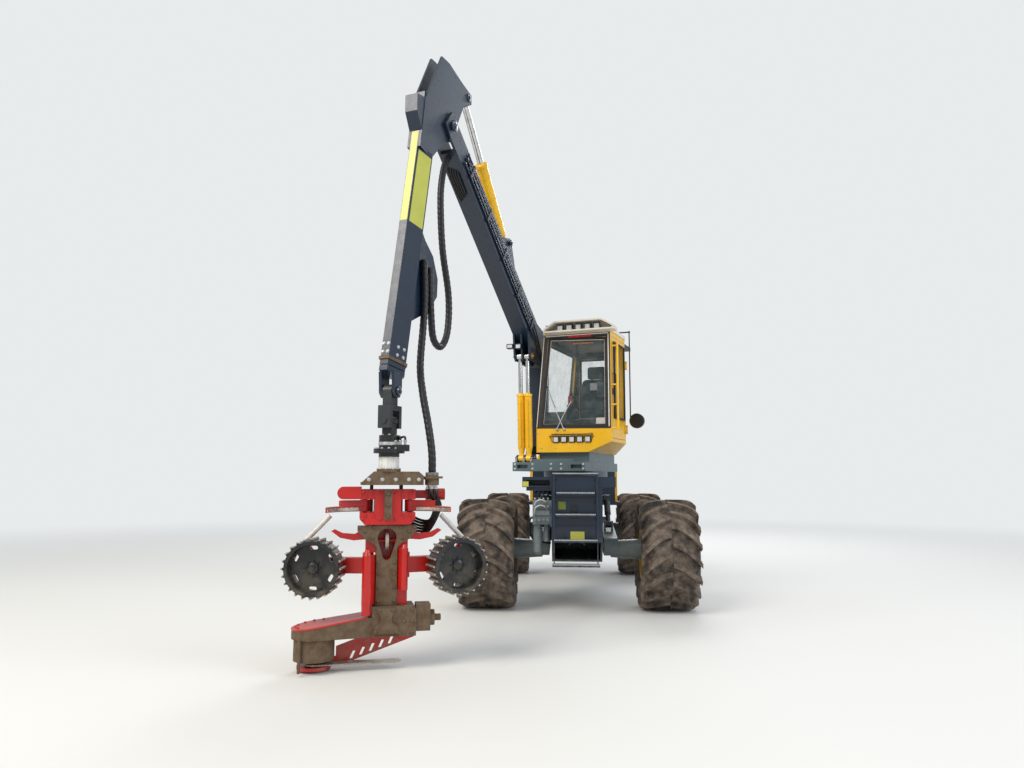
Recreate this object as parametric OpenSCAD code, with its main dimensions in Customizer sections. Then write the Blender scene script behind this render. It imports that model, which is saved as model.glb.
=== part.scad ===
// Forestry harvester: two hinged frames on wheels with swing arms,
// a slewing upper carriage with cab and knuckle crane, and a felling head.
// Millimetres, real size. Z up, ground at z = 0, origin under the slewing axis.
// The lower machine faces -Y. Its left side is at +X.

/* [Wheels] */
// tyre diameter out to the lug tips
tyre_d = 1420; // [1300:10:1600]
// tyre width over the lugs
tyre_w = 750; // [600:10:800]
// rim diameter at the tyre bead
rim_d = 690; // [640:5:720]
// distance between the tyre middles of one axle
track_w = 2350; // [2200:10:2600]
// front axle ahead of the slewing axis
axle_f = 367; // [250:5:450]
// wheelbase
wheel_base = 3700; // [3500:10:4000]
// lug height
lug_h = 55; // [40:1:70]
// lugs on each half of one tyre
lug_n = 18; // [12:1:22]

/* [Frames] */
// width of a frame box
frame_w = 640; // [560:10:700]
// underside of the front frame
frame_z0 = 640; // [560:10:760]
// top of the front frame
frame_z1 = 1560; // [1460:10:1640]
// steering joint behind the slewing axis
pivot_y = 1500; // [1400:10:1600]
// plate thickness of frames
plate_t = 25; // [15:1:40]

/* [Upper carriage] */
// slewing angle of the upper carriage to the machine's right
slew = 18; // [0:1:40]
// deck underside
deck_z0 = 1790; // [1760:5:1850]
// deck thickness
deck_t = 120; // [90:5:160]
// crane plane to the right of the slewing axis
crane_t = 515; // [460:5:600]

/* [Crane] */
// main boom width
boom_w = 220; // [180:5:280]
// stick width
stick_w = 150; // [130:5:200]
// lift cylinder barrel diameter
lift_d = 100; // [90:1:110]
// stick cylinder barrel diameter
stickcyl_d = 140; // [110:1:150]
// side clearance at a crane pin
pin_gap = 6; // [5:0.5:12]

/* [Cab] */
// cab width at the front
cab_w = 1040; // [900:10:1150]
// cab floor height
cab_z0 = 2040; // [1980:5:2100]
// cab roof underside
cab_z1 = 3640; // [3550:5:3750]
// cab front face ahead of the slewing axis
cab_u = 560; // [450:10:650]
// cab length
cab_l = 1500; // [1300:10:1600]
// wall thickness
cab_t = 50; // [30:5:70]

/* [Head] */
// turn of the head under its rotator, from the crane plane
head_turn = 34; // [0:1:60]
// distance of a feed roller from the head's middle
roller_x = 640; // [560:5:700]
// feed roller diameter over the studs
roller_d = 530; // [440:5:560]
// feed roller width
roller_w = 240; // [200:5:300]

/* [Hidden] */
$fn = 64;
axle_z = tyre_d / 2;
axle_yf = -axle_f;
axle_yr = wheel_base - axle_f;
half_track = track_w / 2;
fit = 0.05;
gap = 0.3;
deck_z1 = deck_z0 + deck_t;
hub_r = 190;
spigot_r = 100;
st_barrel = [200, 800];
st_rod = [280, 1800];
st_z = 1060;
st_pin_r = 22;
strut_x = frame_w / 2 + 130;
// crane points as [ahead, up]
foot_p = [90, 2140];
lift_lo = [620, 1960];
lift_hi = [690, 3340];
lift_off = 5;
lug_t = 24;
foot_t = 20;
knee_p = [350, 3500];
tip_p = [3130, 5530];
cyl_p = [1430, 4700];
tail_p = [2660, 6090];
end_p = [4150, 2505];
hang_u = end_p[0];
st_top = [3560, 5560];
st_end = end_p + [0, 255];
st_dir = rot_dir(st_end - st_top);
st_n = [-st_dir[1], st_dir[0]];
st_len = dist(st_top, st_end) + 38;
tele_w = 108;
// sections of the stick and of the extension inside it
stick_skin = six(43, 125, 95, -110, 60, -150);
stick_bore = six(31, 111, 81, -106, 52, -137);
tele_skin = six(30, 110, 80, -105.5, 51.5, -136);
tele_bore = six(20, 98, 66, -100, 42, -122);
low_z = 2230;
st_len0 = dist(st_barrel, st_rod);
st_ang = ang(st_barrel, st_rod);
hood_y = 4520;
hood_z = 1290;
// cab beside the crane, in upper axes
cab_left = -crane_t + boom_w / 2 + 30;
cab_r = cab_left + cab_w;
// bevel along the cab's lower left edge and lean of its right wall
cut_x = 322;
cut_z = 135;
lean = 115;
lean_z = 2385;
// sides of the visor
visor_l = cab_left + lean + 60;
visor_r = cab_r + 100;
visor_z = cab_z1 - 13;
door_y0 = -cab_u + 60;
door_l = 690;
hinge_x = cab_r + 20;
hinge_y = door_y0 + door_l + 25;
// head: tilt pin, measuring wheel, saw pin and splay of the feed arms
tilt_y = 348;
tilt_z = 1180;
yoke_x = 140;
wheel_y = 95;
wheel_z = 1130;
saw_x = -620;
saw_y = 60;
saw_z = 20;
arm_splay = 12;
// top of the saw box falls away from the column
box_x = -125;
box_z = 470;
box_fall = 8;
turret_r = 178;
// [height, front edge, width] of each ladder tread
treads = [[1490, -1130, 480], [1225, -1170, 500], [915, -1215, 540], [625, -1260, 580]];
// hose routes as [left of the crane plane, ahead, up]
loop_path = [[-20, 2990, 5240.6], [-20, 3010, 5213.4], [-20, 3030, 5186.2], [-10, 3120, 5030],
             [10, 3210, 4700], [30, 3190, 4150], [40, 3050, 3650], [46.3, 3080, 3260],
             [46.3, 3230, 3070], [46.3, 3400, 3130], [46.3, 3460, 3400], [46.3, 3480, 3650],
             [46.3, 3490, 3850]];
head_path = [[46.3, 3620, 3900], [46.3, 3600, 3600], [46.3, 3600, 3400], [48.3, 3625, 3200],
             [70, 3710, 2800], [170, 3830, 2500], [270, 3900, 2200], [325, 3926, 1950],
             [332, 3926, 1757]];

yellow = [0.95, 0.72, 0.05];
navy = [0.14, 0.19, 0.24];
grey = [0.45, 0.5, 0.5];
red = [0.72, 0.1, 0.08];
black = [0.1, 0.1, 0.1];
brown = [0.36, 0.28, 0.22];
chrome = [0.8, 0.8, 0.82];
pale = [0.85, 0.83, 0.78];
glass = [0.6, 0.75, 0.8, 0.35];

// helpers

module upper() rotate([0, 0, -slew]) children();

// child drawn in the crane plane: x is ahead, y is up, extruded across
module crane_plate(w, off = 0) {
  upper() translate([-crane_t + off, 0, 0])
    rotate([90, 0, -90]) translate([0, 0, -w / 2]) linear_extrude(w) children();
}

// cylinder across the crane plane at p = [ahead, up]
module cross_cyl(p, d, w, off = 0) {
  upper() translate([-crane_t + off - w / 2, -p[0], p[1]])
    rotate([0, 90, 0]) cylinder(h = w, d = d);
}

function dist(a, b) = norm(b - a);
function rot_dir(v) = v / norm(v);
function ang(a, b) = atan2(b[1] - a[1], b[0] - a[0]);
function along(a, b, s) = a + (b - a) * (s / dist(a, b));

// round rod in the crane plane from s0 to s1 along a to b
module crane_rod(a, b, s0, s1, d, off = 0) {
  p = along(a, b, s0);
  e = ang(a, b);
  upper() translate([-crane_t + off, -p[0], p[1]])
    rotate([90 - e, 0, 0]) cylinder(h = s1 - s0, d = d);
}

// cone in the crane plane from s0 to s1 along a to b
module crane_cone(a, b, s0, s1, d0, d1, off = 0) {
  p = along(a, b, s0);
  e = ang(a, b);
  upper() translate([-crane_t + off, -p[0], p[1]])
    rotate([90 - e, 0, 0]) cylinder(h = s1 - s0, d1 = d0, d2 = d1);
}

// flat outline [across, forward] carried along the stick from s0 to s1
module stick_tube(outline, s0, s1) {
  p = st_at(s0, 0);
  upper() translate([-crane_t, -p[0], p[1]])
    rotate([90 - ang(st_top, st_end), 0, 0]) linear_extrude(s1 - s0) polygon(outline);
}

// outline [x, z] drawn from y0 back to y1
module across_y(y0, y1) {
  translate([0, y1, 0]) rotate([90, 0, 0]) linear_extrude(y1 - y0) children();
}

// symmetric section with six corners: half width and height of each pair
function six(a, ha, b, hb, c, hc) = [[-a, ha], [a, ha], [b, hb], [c, hc], [-c, hc], [-b, hb]];

module head_place() {
  upper() translate([-crane_t, -hang_u, 0]) rotate([0, 0, head_turn]) children();
}

module at_axle(side, y) {
  translate([side * half_track, y, axle_z]) rotate([0, 90, 0]) children();
}

// wheels

// one tyre about z, its middle at z = 0
module tyre_body() {
  r = tyre_d / 2 - lug_h;
  rb = rim_d / 2;
  w = tyre_w / 2;
  rotate_extrude($fn = 72) polygon([
    [rb + gap, -w * 0.80], [rb + 25, -w * 0.80], [rb + 60, -w * 0.95], [rb + 160, -w * 0.98],
    [r - 60, -w * 0.95], [r - 15, -w * 0.75], [r, -w * 0.3],
    [r, w * 0.3], [r - 15, w * 0.75], [r - 60, w * 0.95],
    [rb + 160, w * 0.98], [rb + 60, w * 0.95], [rb + 25, w * 0.80], [rb + gap, w * 0.80],
    [rb + 25, w * 0.6], [rb + 25, -w * 0.6]
  ]);
}

module lug_ring(dir) {
  r = tyre_d / 2;
  w = tyre_w / 2;
  for (i = [0 : lug_n - 1])
    rotate([0, 0, (i + (dir > 0 ? 0 : 0.5)) * 360 / lug_n])
      translate([r - lug_h - 12, 0, dir * w * 0.5])
        rotate([dir * 40, 0, 0])
          translate([0, -28, -w * 0.62])
            cube([lug_h + 10, 56, w * 1.24]);
}

module tyre() {
  r = tyre_d / 2;
  w = tyre_w / 2;
  tyre_body();
  intersection() {
    union() {
      lug_ring(1);
      lug_ring(-1);
    }
    rotate_extrude($fn = 72) polygon([
      [r - 90, -w], [r - 20, -w], [r, -w * 0.8], [r, w * 0.8], [r - 20, w], [r - 90, w]
    ]);
  }
}

// rim about z with its outer face toward +z
module rim() {
  rb = rim_d / 2;
  w = tyre_w / 2;
  difference() {
    rotate_extrude($fn = 72) polygon([
      [rb - 14, -w * 0.86], [rb + 22, -w * 0.86], [rb + 22, -w * 0.80 - gap],
      [rb, -w * 0.80 - gap], [rb, w * 0.80 + gap],
      [rb + 22, w * 0.80 + gap], [rb + 22, w * 0.86], [rb - 14, w * 0.86],
      [rb - 14, 120], [hub_r + 20, 90], [spigot_r + fit, 90], [spigot_r + fit, 70],
      [hub_r + 20, 70], [rb - 14, 100]
    ]);
    for (i = [0 : 11])
      rotate([0, 0, i * 30]) translate([hub_r - 30, 0, 0]) cylinder(h = 200, d = 24, $fn = 24);
  }
}

// lower machine

module front_frame() {
  color(navy) {
    // sides with a notch that the steering cylinders swing through
    for (s = [-1, 1])
      translate([s > 0 ? frame_w / 2 - plate_t : -frame_w / 2, 0, 0])
        rotate([90, 0, 90]) linear_extrude(plate_t)
          polygon([[-1000, frame_z0 + 260], [-760, frame_z0], [700, frame_z0],
                   [1160, frame_z0 + 140], [1160, st_z - 75], [850, st_z - 75],
                   [850, st_z + 75], [1160, st_z + 75], [1160, 1360], [760, frame_z1],
                   [-1000, frame_z1]]);
    translate([-frame_w / 2, -1000, frame_z1]) cube([frame_w, 1560, plate_t]);
    translate([-frame_w / 2 + 1, -760, frame_z0]) cube([frame_w - 2, 1460, plate_t]);
    translate([-frame_w / 2 + 1, -1000, frame_z0 + 260])
      cube([frame_w - 2, plate_t, frame_z1 - frame_z0 - 259]);
    translate([-frame_w / 2 + 1, 690, frame_z0]) cube([frame_w - 2, plate_t, frame_z1 - frame_z0 - 10]);
    // eyes and pin of the steering joint
    for (z = [830, 1230])
      translate([0, 0, z]) linear_extrude(60) hull() {
        translate([-frame_w / 2 + 1, 1080]) square([frame_w - 2, 80]);
        translate([0, pivot_y]) circle(r = 100);
      }
    translate([0, pivot_y, 770]) cylinder(h = 580, r = 45);
    // lugs and pins of the steering cylinders
    for (s = [-1, 1], z = [st_z - 30 - pin_gap - 25, st_z + 30 + pin_gap])
      translate([s * st_barrel[0] - 45, 700, z]) cube([90, 130, 25]);
    for (s = [-1, 1])
      translate([s * st_barrel[0], st_barrel[1], st_z]) cylinder(h = 130, r = st_pin_r, center = true);
    // bosses of the swing arm struts
    for (s = [-1, 1])
      translate([s * (frame_w / 2 - 5), 420, 1400])
        rotate([0, s * 90, 0]) cylinder(h = strut_x - frame_w / 2 - 40, r = 50);
    // nose deck beside the ladder
    difference() {
      translate([-690, -1000, frame_z1 + plate_t]) cube([1180, 600, 130]);
      translate([-640, -1001, frame_z1 + plate_t + 20]) cube([300, 540, 70]);
    }
    translate([-640, -960, frame_z1 - 20]) cube([320, 420, 46]);
  }
}

module slew_ring() {
  color(grey) difference() {
    union() {
      translate([0, 0, frame_z1 + plate_t]) cylinder(h = 150, r = 370);
      translate([0, 0, frame_z1 + plate_t + 130])
        cylinder(h = deck_z0 - frame_z1 - plate_t - 130 - gap, r = 440);
    }
    translate([0, 0, frame_z1]) cylinder(h = 400, r = 250);
  }
}

// swing arm: pivot on the frame, hub at the wheel
module swing_arm(side, ya, yp, zp, ys) {
  difference() {
    union() {
      // arm beam beside the frame
      translate([side > 0 ? frame_w / 2 + 40 : -frame_w / 2 - 220, 0, 0])
        rotate([90, 0, 90]) linear_extrude(180) hull() {
          translate([ya, axle_z + 90]) circle(r = 120);
          translate([yp, zp]) circle(r = 150);
        }
      // hub housing, wider toward the wheel
      translate([side * (frame_w / 2 + 130), ya, axle_z + 60]) rotate([0, side * 90, 0])
        cylinder(h = half_track - frame_w / 2 - 240, r1 = 110, r2 = 150);
      translate([side * (half_track - 120), ya, axle_z]) rotate([0, side * 90, 0])
        cylinder(h = 190 - gap, r = hub_r - 20);
      translate([side * half_track, ya, axle_z]) rotate([0, side * 90, 0]) cylinder(h = 110, r = spigot_r);
      // pivot stub on the frame
      translate([side * frame_w / 2, yp, zp]) rotate([0, side * 90, 0]) cylinder(h = 45, r = 110);
      // lugs of the strut
      for (o = [-60, 40])
        translate([side * strut_x + o, 0, 0]) rotate([90, 0, 90]) linear_extrude(20)
          polygon([[ys - 90, 860], [ys + 90, 880], [ys + 50, 1110], [ys - 50, 1110]]);
    }
    translate([side * (frame_w / 2 + 100), yp, zp]) rotate([0, side * 90, 0]) cylinder(h = 200, r = 50);
  }
}

module strut(side, y0, z0, y1, z1) {
  a = [y0, z0];
  b = [y1, z1];
  l = dist(a, b);
  e = ang(a, b);
  translate([side * strut_x, y0, z0]) rotate([e, 0, 0]) rotate([-90, 0, 0]) {
    rotate([0, 90, 0]) cylinder(h = 90, r = 60, center = true);
    cylinder(h = l * 0.6, d = 88);
    cylinder(h = l, d = 64);
    translate([0, 0, l]) rotate([0, 90, 0]) cylinder(h = 80 - 2 * gap, r = 45, center = true);
  }
}

module front_arms() {
  color(grey) for (s = [-1, 1]) swing_arm(s, axle_yf, 640, 900, 60);
}

module front_struts() {
  color(yellow) for (s = [-1, 1]) strut(s, 420, 1400, 60, 1062);
}

module ladder() {
  color(navy) translate([-20, 0, 0]) {
    for (s = [-1, 1])
      translate([s * 270 - 12, 0, 0]) rotate([90, 0, 90]) linear_extrude(24)
        polygon([[-1050, 1752], [-1000, 1752], [-1000, 1590], [-1130, 905], [-1175, 905]]);
    translate([-290, -1060, 1735]) cube([580, 60, 25]);
    for (t = treads)
      translate([-t[2] / 2, t[1], t[0]]) cube([t[2], min(140, -1001 - t[1]), 30]);
    for (s = [-1, 1])
      translate([s * 268, -1150, 625]) cylinder(h = 300, d = 14);
    translate([-270, -1020, 900]) cube([540, 20, 830]);
    for (s = [-1, 1])
      translate([s * 200 - 10, treads[1][1] + 130, treads[1][0]])
        cube([20, -treads[1][1] - 130 - 1001, 30]);
  }
}

// block of control valves and a pressure bottle beside the nose
module valve_block() {
  color(grey) {
    translate([-560, -980, 1120]) cube([560 - frame_w / 2, 260, 300]);
    for (x = [-530, -475, -420, -365], z = [1180, 1350])
      translate([x, -979, z]) rotate([90, 0, 0]) cylinder(h = 60, d = 40);
    translate([-545, -1000, 1235]) cube([200, 22, 60]);
  }
  color(black) {
    translate([-500, -850, 770]) cylinder(h = 351, d = 120);
    translate([-500, -850, 740]) cylinder(h = 31, d1 = 70, d2 = 120);
    translate([-385, -850, 900]) cylinder(h = 221, d = 80);
  }
}

module rear_frame() {
  color(navy) {
    for (s = [-1, 1])
      translate([s > 0 ? frame_w / 2 - plate_t : -frame_w / 2, 0, 0])
        rotate([90, 0, 90]) linear_extrude(plate_t)
          polygon([[1895, 745], [2100, frame_z0 + 20], [4300, frame_z0 + 20], [4500, 820],
                   [4500, 1240], [1895, 1240]]);
    translate([-frame_w / 2, 1895, 1240]) cube([frame_w, 2605, plate_t]);
    translate([-frame_w / 2 + 1, 2100, frame_z0 + 20]) cube([frame_w - 2, 2200, plate_t]);
    translate([-frame_w / 2 + 1, 4475, 820]) cube([frame_w - 2, plate_t, 430]);
    // end plate with windows behind the rod eyes of the steering cylinders
    difference() {
      translate([-360, 1870, 740]) cube([720, 31, 640]);
      for (x = [-361, 150])
        translate([x, 1869, st_z - 42]) cube([211, 33, 84]);
    }
    // deck under the engine
    translate([-760, 2050, 1255]) cube([1520, 2400, 50]);
    // fork of the steering joint
    for (z = [830 - 50 - pin_gap, 890 + pin_gap, 1230 - 50 - pin_gap, 1290 + pin_gap])
      difference() {
        translate([0, 0, z]) linear_extrude(50) hull() {
          translate([-180, 1875]) square([360, 20]);
          translate([0, pivot_y]) circle(r = 100);
        }
        translate([0, pivot_y, z - 1]) cylinder(h = 52, r = 45 + fit);
      }
    // lugs of the steering rods
    for (s = [-1, 1], z = [st_z - 25 - pin_gap - 25, st_z + 25 + pin_gap])
      translate([s * st_rod[0] - 45, st_rod[1] - 45, z]) cube([90, 125, 25]);
    // bosses of the swing arm struts
    for (s = [-1, 1])
      translate([s * (frame_w / 2 - 5), 2560, 1180])
        rotate([0, s * 90, 0]) cylinder(h = strut_x - frame_w / 2 - 40, r = 50);
    // tow eye
    difference() {
      translate([-60, 4490, 900]) cube([120, 150, 160]);
      translate([0, 4585, 899]) cylinder(h = 162, r = 25);
    }
    // brackets and pins of the hood hinge
    for (s = [-1, 1]) {
      for (o = [-60, 30]) translate([s * 500 + o, 4440, 1255]) cube([30, 100, 48]);
      translate([s * 500 - 60, hood_y, hood_z]) rotate([0, 90, 0]) cylinder(h = 120, r = 12);
    }
  }
}

module rear_arms() {
  color(grey) for (s = [-1, 1]) swing_arm(s, axle_yr, 2400, 900, 3000);
}

module rear_struts() {
  color(yellow) for (s = [-1, 1]) strut(s, 2560, 1180, 3000, 1062);
}

module engine_block() {
  color(black) translate([-330, 2620, 1305]) cube([660, 1150, 700]);
}

module tanks() {
  color(navy) {
    for (s = [-1, 1])
      translate([s > 0 ? 400 : -680, 2080, 1305]) cube([280, 330, 560]);
    translate([-400, 2080, 1305]) cube([800, 330, 420]);
    for (s = [-1, 1])
      translate([s * 550, 2245, 1860]) cylinder(h = 45, d = 110);
  }
  // exhaust behind the joint, its mouth cut aslant
  color(black) difference() {
    union() {
      translate([250, 2245, 1720]) cylinder(h = 420, d = 130);
      translate([250, 2245, 1720]) cylinder(h = 720, d = 76);
      translate([250, 2245, 2139]) cylinder(h = 40, d1 = 130, d2 = 76);
    }
    translate([250, 2245, 2300]) cylinder(h = 200, d = 66);
    translate([250, 2245, 2400]) rotate([35, 0, 0]) translate([-100, -150, 0]) cube([200, 300, 200]);
  }
}

module engine_hood() {
  color(yellow) {
    difference() {
      across_y(2440, 4500)
        polygon([[-740, 1311], [740, 1311], [740, 1800], [560, 2150], [-560, 2150], [-740, 1800]]);
      across_y(2460, 4480)
        polygon([[-715, 1300], [715, 1300], [715, 1793], [548, 2125], [-548, 2125], [-715, 1793]]);
      // air slots in both sides
      for (y = [2640, 3250, 3860], i = [0 : 6])
        translate([-800, y, 1430 + i * 45]) cube([1600, 420, 20]);
      // grille in the tail
      for (i = [0 : 9])
        translate([-405 + i * 85, 4470, 1440]) cube([45, 40, 460]);
      // lamp recesses in the tail
      for (s = [-1, 1])
        translate([s * 570 - 60, 4490, 1640]) cube([120, 20, 90]);
    }
    difference() {
      for (s = [-1, 1]) {
        translate([s * 500, hood_y, hood_z]) rotate([0, 90, 0]) cylinder(h = 48, r = 24, center = true);
        translate([s * 500 - 24, 4495, hood_z]) cube([48, 40, 120]);
      }
      translate([-600, hood_y, hood_z]) rotate([0, 90, 0]) cylinder(h = 1200, r = 12 + fit);
    }
  }
}

// steering cylinder inside the joint: barrel on the front frame, rod on the rear frame
module steer_at(side) {
  translate([side * st_barrel[0], st_barrel[1], st_z]) rotate([0, 0, side * (st_ang - 90)]) children();
}

module steer_barrel(side) {
  color(yellow) steer_at(side) difference() {
    union() {
      cylinder(h = 60, r = 42, center = true);
      rotate([-90, 0, 0]) cylinder(h = 620, d = 84);
    }
    cylinder(h = 62, r = st_pin_r + fit, center = true);
    translate([0, 70, 0]) rotate([-90, 0, 0]) cylinder(h = 560, d = 50 + 2 * fit);
    for (z = [-1, 1]) translate([-50, -50, z > 0 ? 30 : -60]) cube([100, 105, 30]);
  }
}

module steer_rod(side) {
  color(chrome) steer_at(side) {
    translate([0, 270, 0]) rotate([-90, 0, 0]) cylinder(h = st_len0 - 270, d = 50);
    translate([0, st_len0, 0]) cylinder(h = 50, r = 40, center = true);
  }
}

// upper carriage

module deck() {
  color(grey) upper() {
    difference() {
      union() {
        translate([-665, -700, deck_z0]) cube([1010, 1700, deck_t]);
        // skirt under the cab
        translate([cab_left + 15, -480, deck_z1 - 1])
          cube([cab_w - cut_x - 20, 1330, cab_z0 - deck_z1 + 1]);
      }
      translate([0, 0, deck_z0 - 1]) cylinder(h = deck_t + 2, r = 240);
      // hand holes in the front edge
      for (x = [-600, 150]) translate([x, -701, deck_z0 + 35]) cube([150, 60, 50]);
    }
    // kick rail along the front edge
    translate([-380, -700, deck_z1 - 1]) cube([560, 15, 40]);
  }
}

module crane_base() {
  color(navy) {
    for (s = [-1, 1])
      crane_plate(foot_t, s * (boom_w / 2 + pin_gap + foot_t / 2))
        polygon([[-200, deck_z1], [280, deck_z1], [200, foot_p[1] + 60], [150, foot_p[1] + 110],
                 [30, foot_p[1] + 110], [-50, foot_p[1] + 40]]);
    for (o = [-107, 0, 107])
      crane_plate(lug_t, lift_off + o)
        polygon([[520, deck_z1], [700, deck_z1], lift_lo + [50, 20], lift_lo + [20, 48],
                 lift_lo + [-20, 48], lift_lo + [-50, 20]]);
  }
  color(chrome) {
    cross_cyl(foot_p, 90, boom_w + 2 * pin_gap + 2 * foot_t + 2);
    cross_cyl(lift_lo, 50, 214 + lug_t + 10, lift_off);
  }
}

// plan of the cab in upper axes: x across, y back
function cab_plan(d) = let(l = cab_left + d, r = cab_r - d, f = -cab_u + d, b = -cab_u + cab_l - d)
  [[l, f], [r, f], [r, f + 800], [r - 330, b], [l, b]];

// section of the cab [across, up] as high as top
function cab_section(d, top) = [
  [cab_left + d, cab_z0 + d], [cab_r - cut_x - 0.2 * d, cab_z0 + d],
  [cab_r - d, cab_z0 + cut_z + 0.67 * d], [cab_r - d, top],
  [cab_left + lean + d, top], [cab_left + d, lean_z]];

// right wall's outside at height z
function wall_x(z) = cab_left + lean * (z - lean_z) / (cab_z1 - lean_z);

front_pane = [[cab_left + 62, lean_z], [cab_r - 52, lean_z - 17], [cab_r - 48, cab_z1 - 80],
              [cab_left + lean + 66, cab_z1 - 50]];

module cab_body(d, top) {
  intersection() {
    translate([0, 0, cab_z0]) linear_extrude(top - cab_z0) polygon(cab_plan(d));
    across_y(-cab_u, -cab_u + cab_l) polygon(cab_section(d, top));
  }
}

module cab_shell() {
  color(yellow) upper() {
    difference() {
      cab_body(0, cab_z1);
      cab_body(cab_t, cab_z1 + 10);
      // front window
      across_y(-cab_u - 10, -cab_u + cab_t + 10) polygon(front_pane);
      // right window
      translate([cab_left - 10, -cab_u + 120, 2500]) cube([lean + cab_t + 20, cab_l - 260, 1040]);
      // rear window
      translate([cab_left + 170, -cab_u + cab_l - cab_t - 10, 2600]) cube([450, cab_t + 20, 900]);
      // door opening
      translate([cab_r - cab_t - 10, door_y0, 2220]) cube([cab_t + 20, door_l + 10, 1360]);
      // lamp recess in the front panel
      across_y(-cab_u - 1, -cab_u + 30)
        polygon([[-150, 2168], [392, 2168], [432, 2262], [-195, 2262]]);
    }
    // hinge lugs and pins of the door
    for (z = [2350, 3250]) {
      translate([cab_r - 5, hinge_y - 15, z - 40]) cube([40, 30, 20]);
      translate([cab_r - 5, hinge_y - 15, z + 60]) cube([40, 30, 20]);
      translate([hinge_x, hinge_y, z - 40]) cylinder(h = 120, r = 8);
    }
    // handrail on the front post
    translate([cab_r + 85, -cab_u + 25, 2335]) cylinder(h = 1145, d = 32);
    for (z = [2350, 2661, 2923, 3440])
      translate([cab_r - 5, -cab_u + 25, z]) rotate([0, 90, 0]) cylinder(h = 92, d = 24);
  }
}

module cab_roof() {
  color(pale) upper() {
    intersection() {
      translate([0, 0, cab_z1]) linear_extrude(130) polygon(cab_plan(-12));
      across_y(-cab_u - 12, -cab_u + cab_l + 12)
        polygon([[cab_left + lean - 12, cab_z1], [cab_r + 12, cab_z1], [cab_r + 12, cab_z1 + 50],
                 [cab_r - 110, cab_z1 + 130], [cab_left + lean + 110, cab_z1 + 130],
                 [cab_left + lean - 12, cab_z1 + 50]]);
    }
    // visor with its lamp recess
    difference() {
      across_y(-cab_u - 210, -cab_u - 11)
        polygon([[visor_l, visor_z], [visor_r, visor_z], [visor_r, visor_z + 50],
                 [visor_r - 167, visor_z + 150], [visor_l + 153, visor_z + 150],
                 [visor_l, visor_z + 50]]);
      across_y(-cab_u - 220, -cab_u - 30)
        polygon([[visor_l + 22, visor_z + 22], [visor_r - 22, visor_z + 22],
                 [visor_r - 22, visor_z + 40], [visor_r - 176, visor_z + 130],
                 [visor_l + 162, visor_z + 130], [visor_l + 22, visor_z + 40]]);
    }
  }
}

module cab_glass() {
  color(glass) upper() {
    across_y(-cab_u + 20, -cab_u + 26) polygon(front_pane);
    across_y(-cab_u + 120, -cab_u + cab_l - 140)
      polygon([[wall_x(2500) + 20, 2500], [wall_x(2500) + 26, 2500],
               [wall_x(3540) + 26, 3540], [wall_x(3540) + 20, 3540]]);
    translate([cab_left + 170, -cab_u + cab_l - 26, 2600]) cube([450, 6, 900]);
  }
}

module cab_lamps() {
  color(pale) upper()
    for (i = [0 : 4]) {
      translate([17 + i * 126 - 38, -cab_u - 150, visor_z + 22]) cube([76, 100, 76]);
      translate([-94 + i * 110 - 35, -cab_u - 15, 2176]) cube([70, 45, 70]);
    }
}

module cab_seat() {
  color(black) upper() translate([200, 0, cab_z0 + cab_t]) {
    translate([-180, 100, 0]) cube([310, 380, 331]);
    translate([-250, 40, 330]) cube([500, 500, 120]);
    translate([-240, 470, 440]) cube([480, 120, 800]);
  }
}

module cab_controls() {
  color(black) upper() translate([0, 0, cab_z0 + cab_t]) {
    translate([-140, 60, 0]) cube([80, 300, 640]);
    // right console on a bracket from the seat's foot
    translate([330, 150, 220]) cube([130, 80, 40]);
    translate([455, 60, 200]) cube([80, 300, 440]);
    translate([cab_left + cab_t + 40, -cab_u + 120, 0]) cube([300, 160, 500]);
  }
}

module cab_door() {
  color(yellow) upper() {
    difference() {
      translate([cab_r - cab_t, door_y0 + 5, 2225]) cube([cab_t, door_l, 1350]);
      translate([cab_r - cab_t - 1, door_y0 + 65, 2485]) cube([cab_t + 2, 570, 1030]);
    }
    difference() {
      for (z = [2370, 3270]) {
        translate([hinge_x, hinge_y, z - 34]) cylinder(h = 68, r = 17);
        translate([cab_r - 5, hinge_y - 75, z - 34]) cube([22, 50, 68]);
        translate([cab_r + 5, hinge_y - 75, z - 34]) cube([12, 70, 68]);
      }
      for (z = [2370, 3270])
        translate([hinge_x, hinge_y, z - 50]) cylinder(h = 100, r = 8 + fit);
    }
  }
}

// mirror that hangs from the roof behind the door
module cab_mirror() {
  color(black) upper() {
    translate([430, 390, cab_z1 + 130]) cube([80, 60, 10]);
    translate([470, 420, cab_z1 + 149]) rotate([0, 90, 0]) cylinder(h = 236, d = 22);
    translate([692, 420, 2560]) cylinder(h = cab_z1 + 165 - 2560, d = 18);
    translate([786, 390, 2505]) rotate([-90, 0, 0]) cylinder(h = 60, d = 210);
  }
}

// crane

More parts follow.
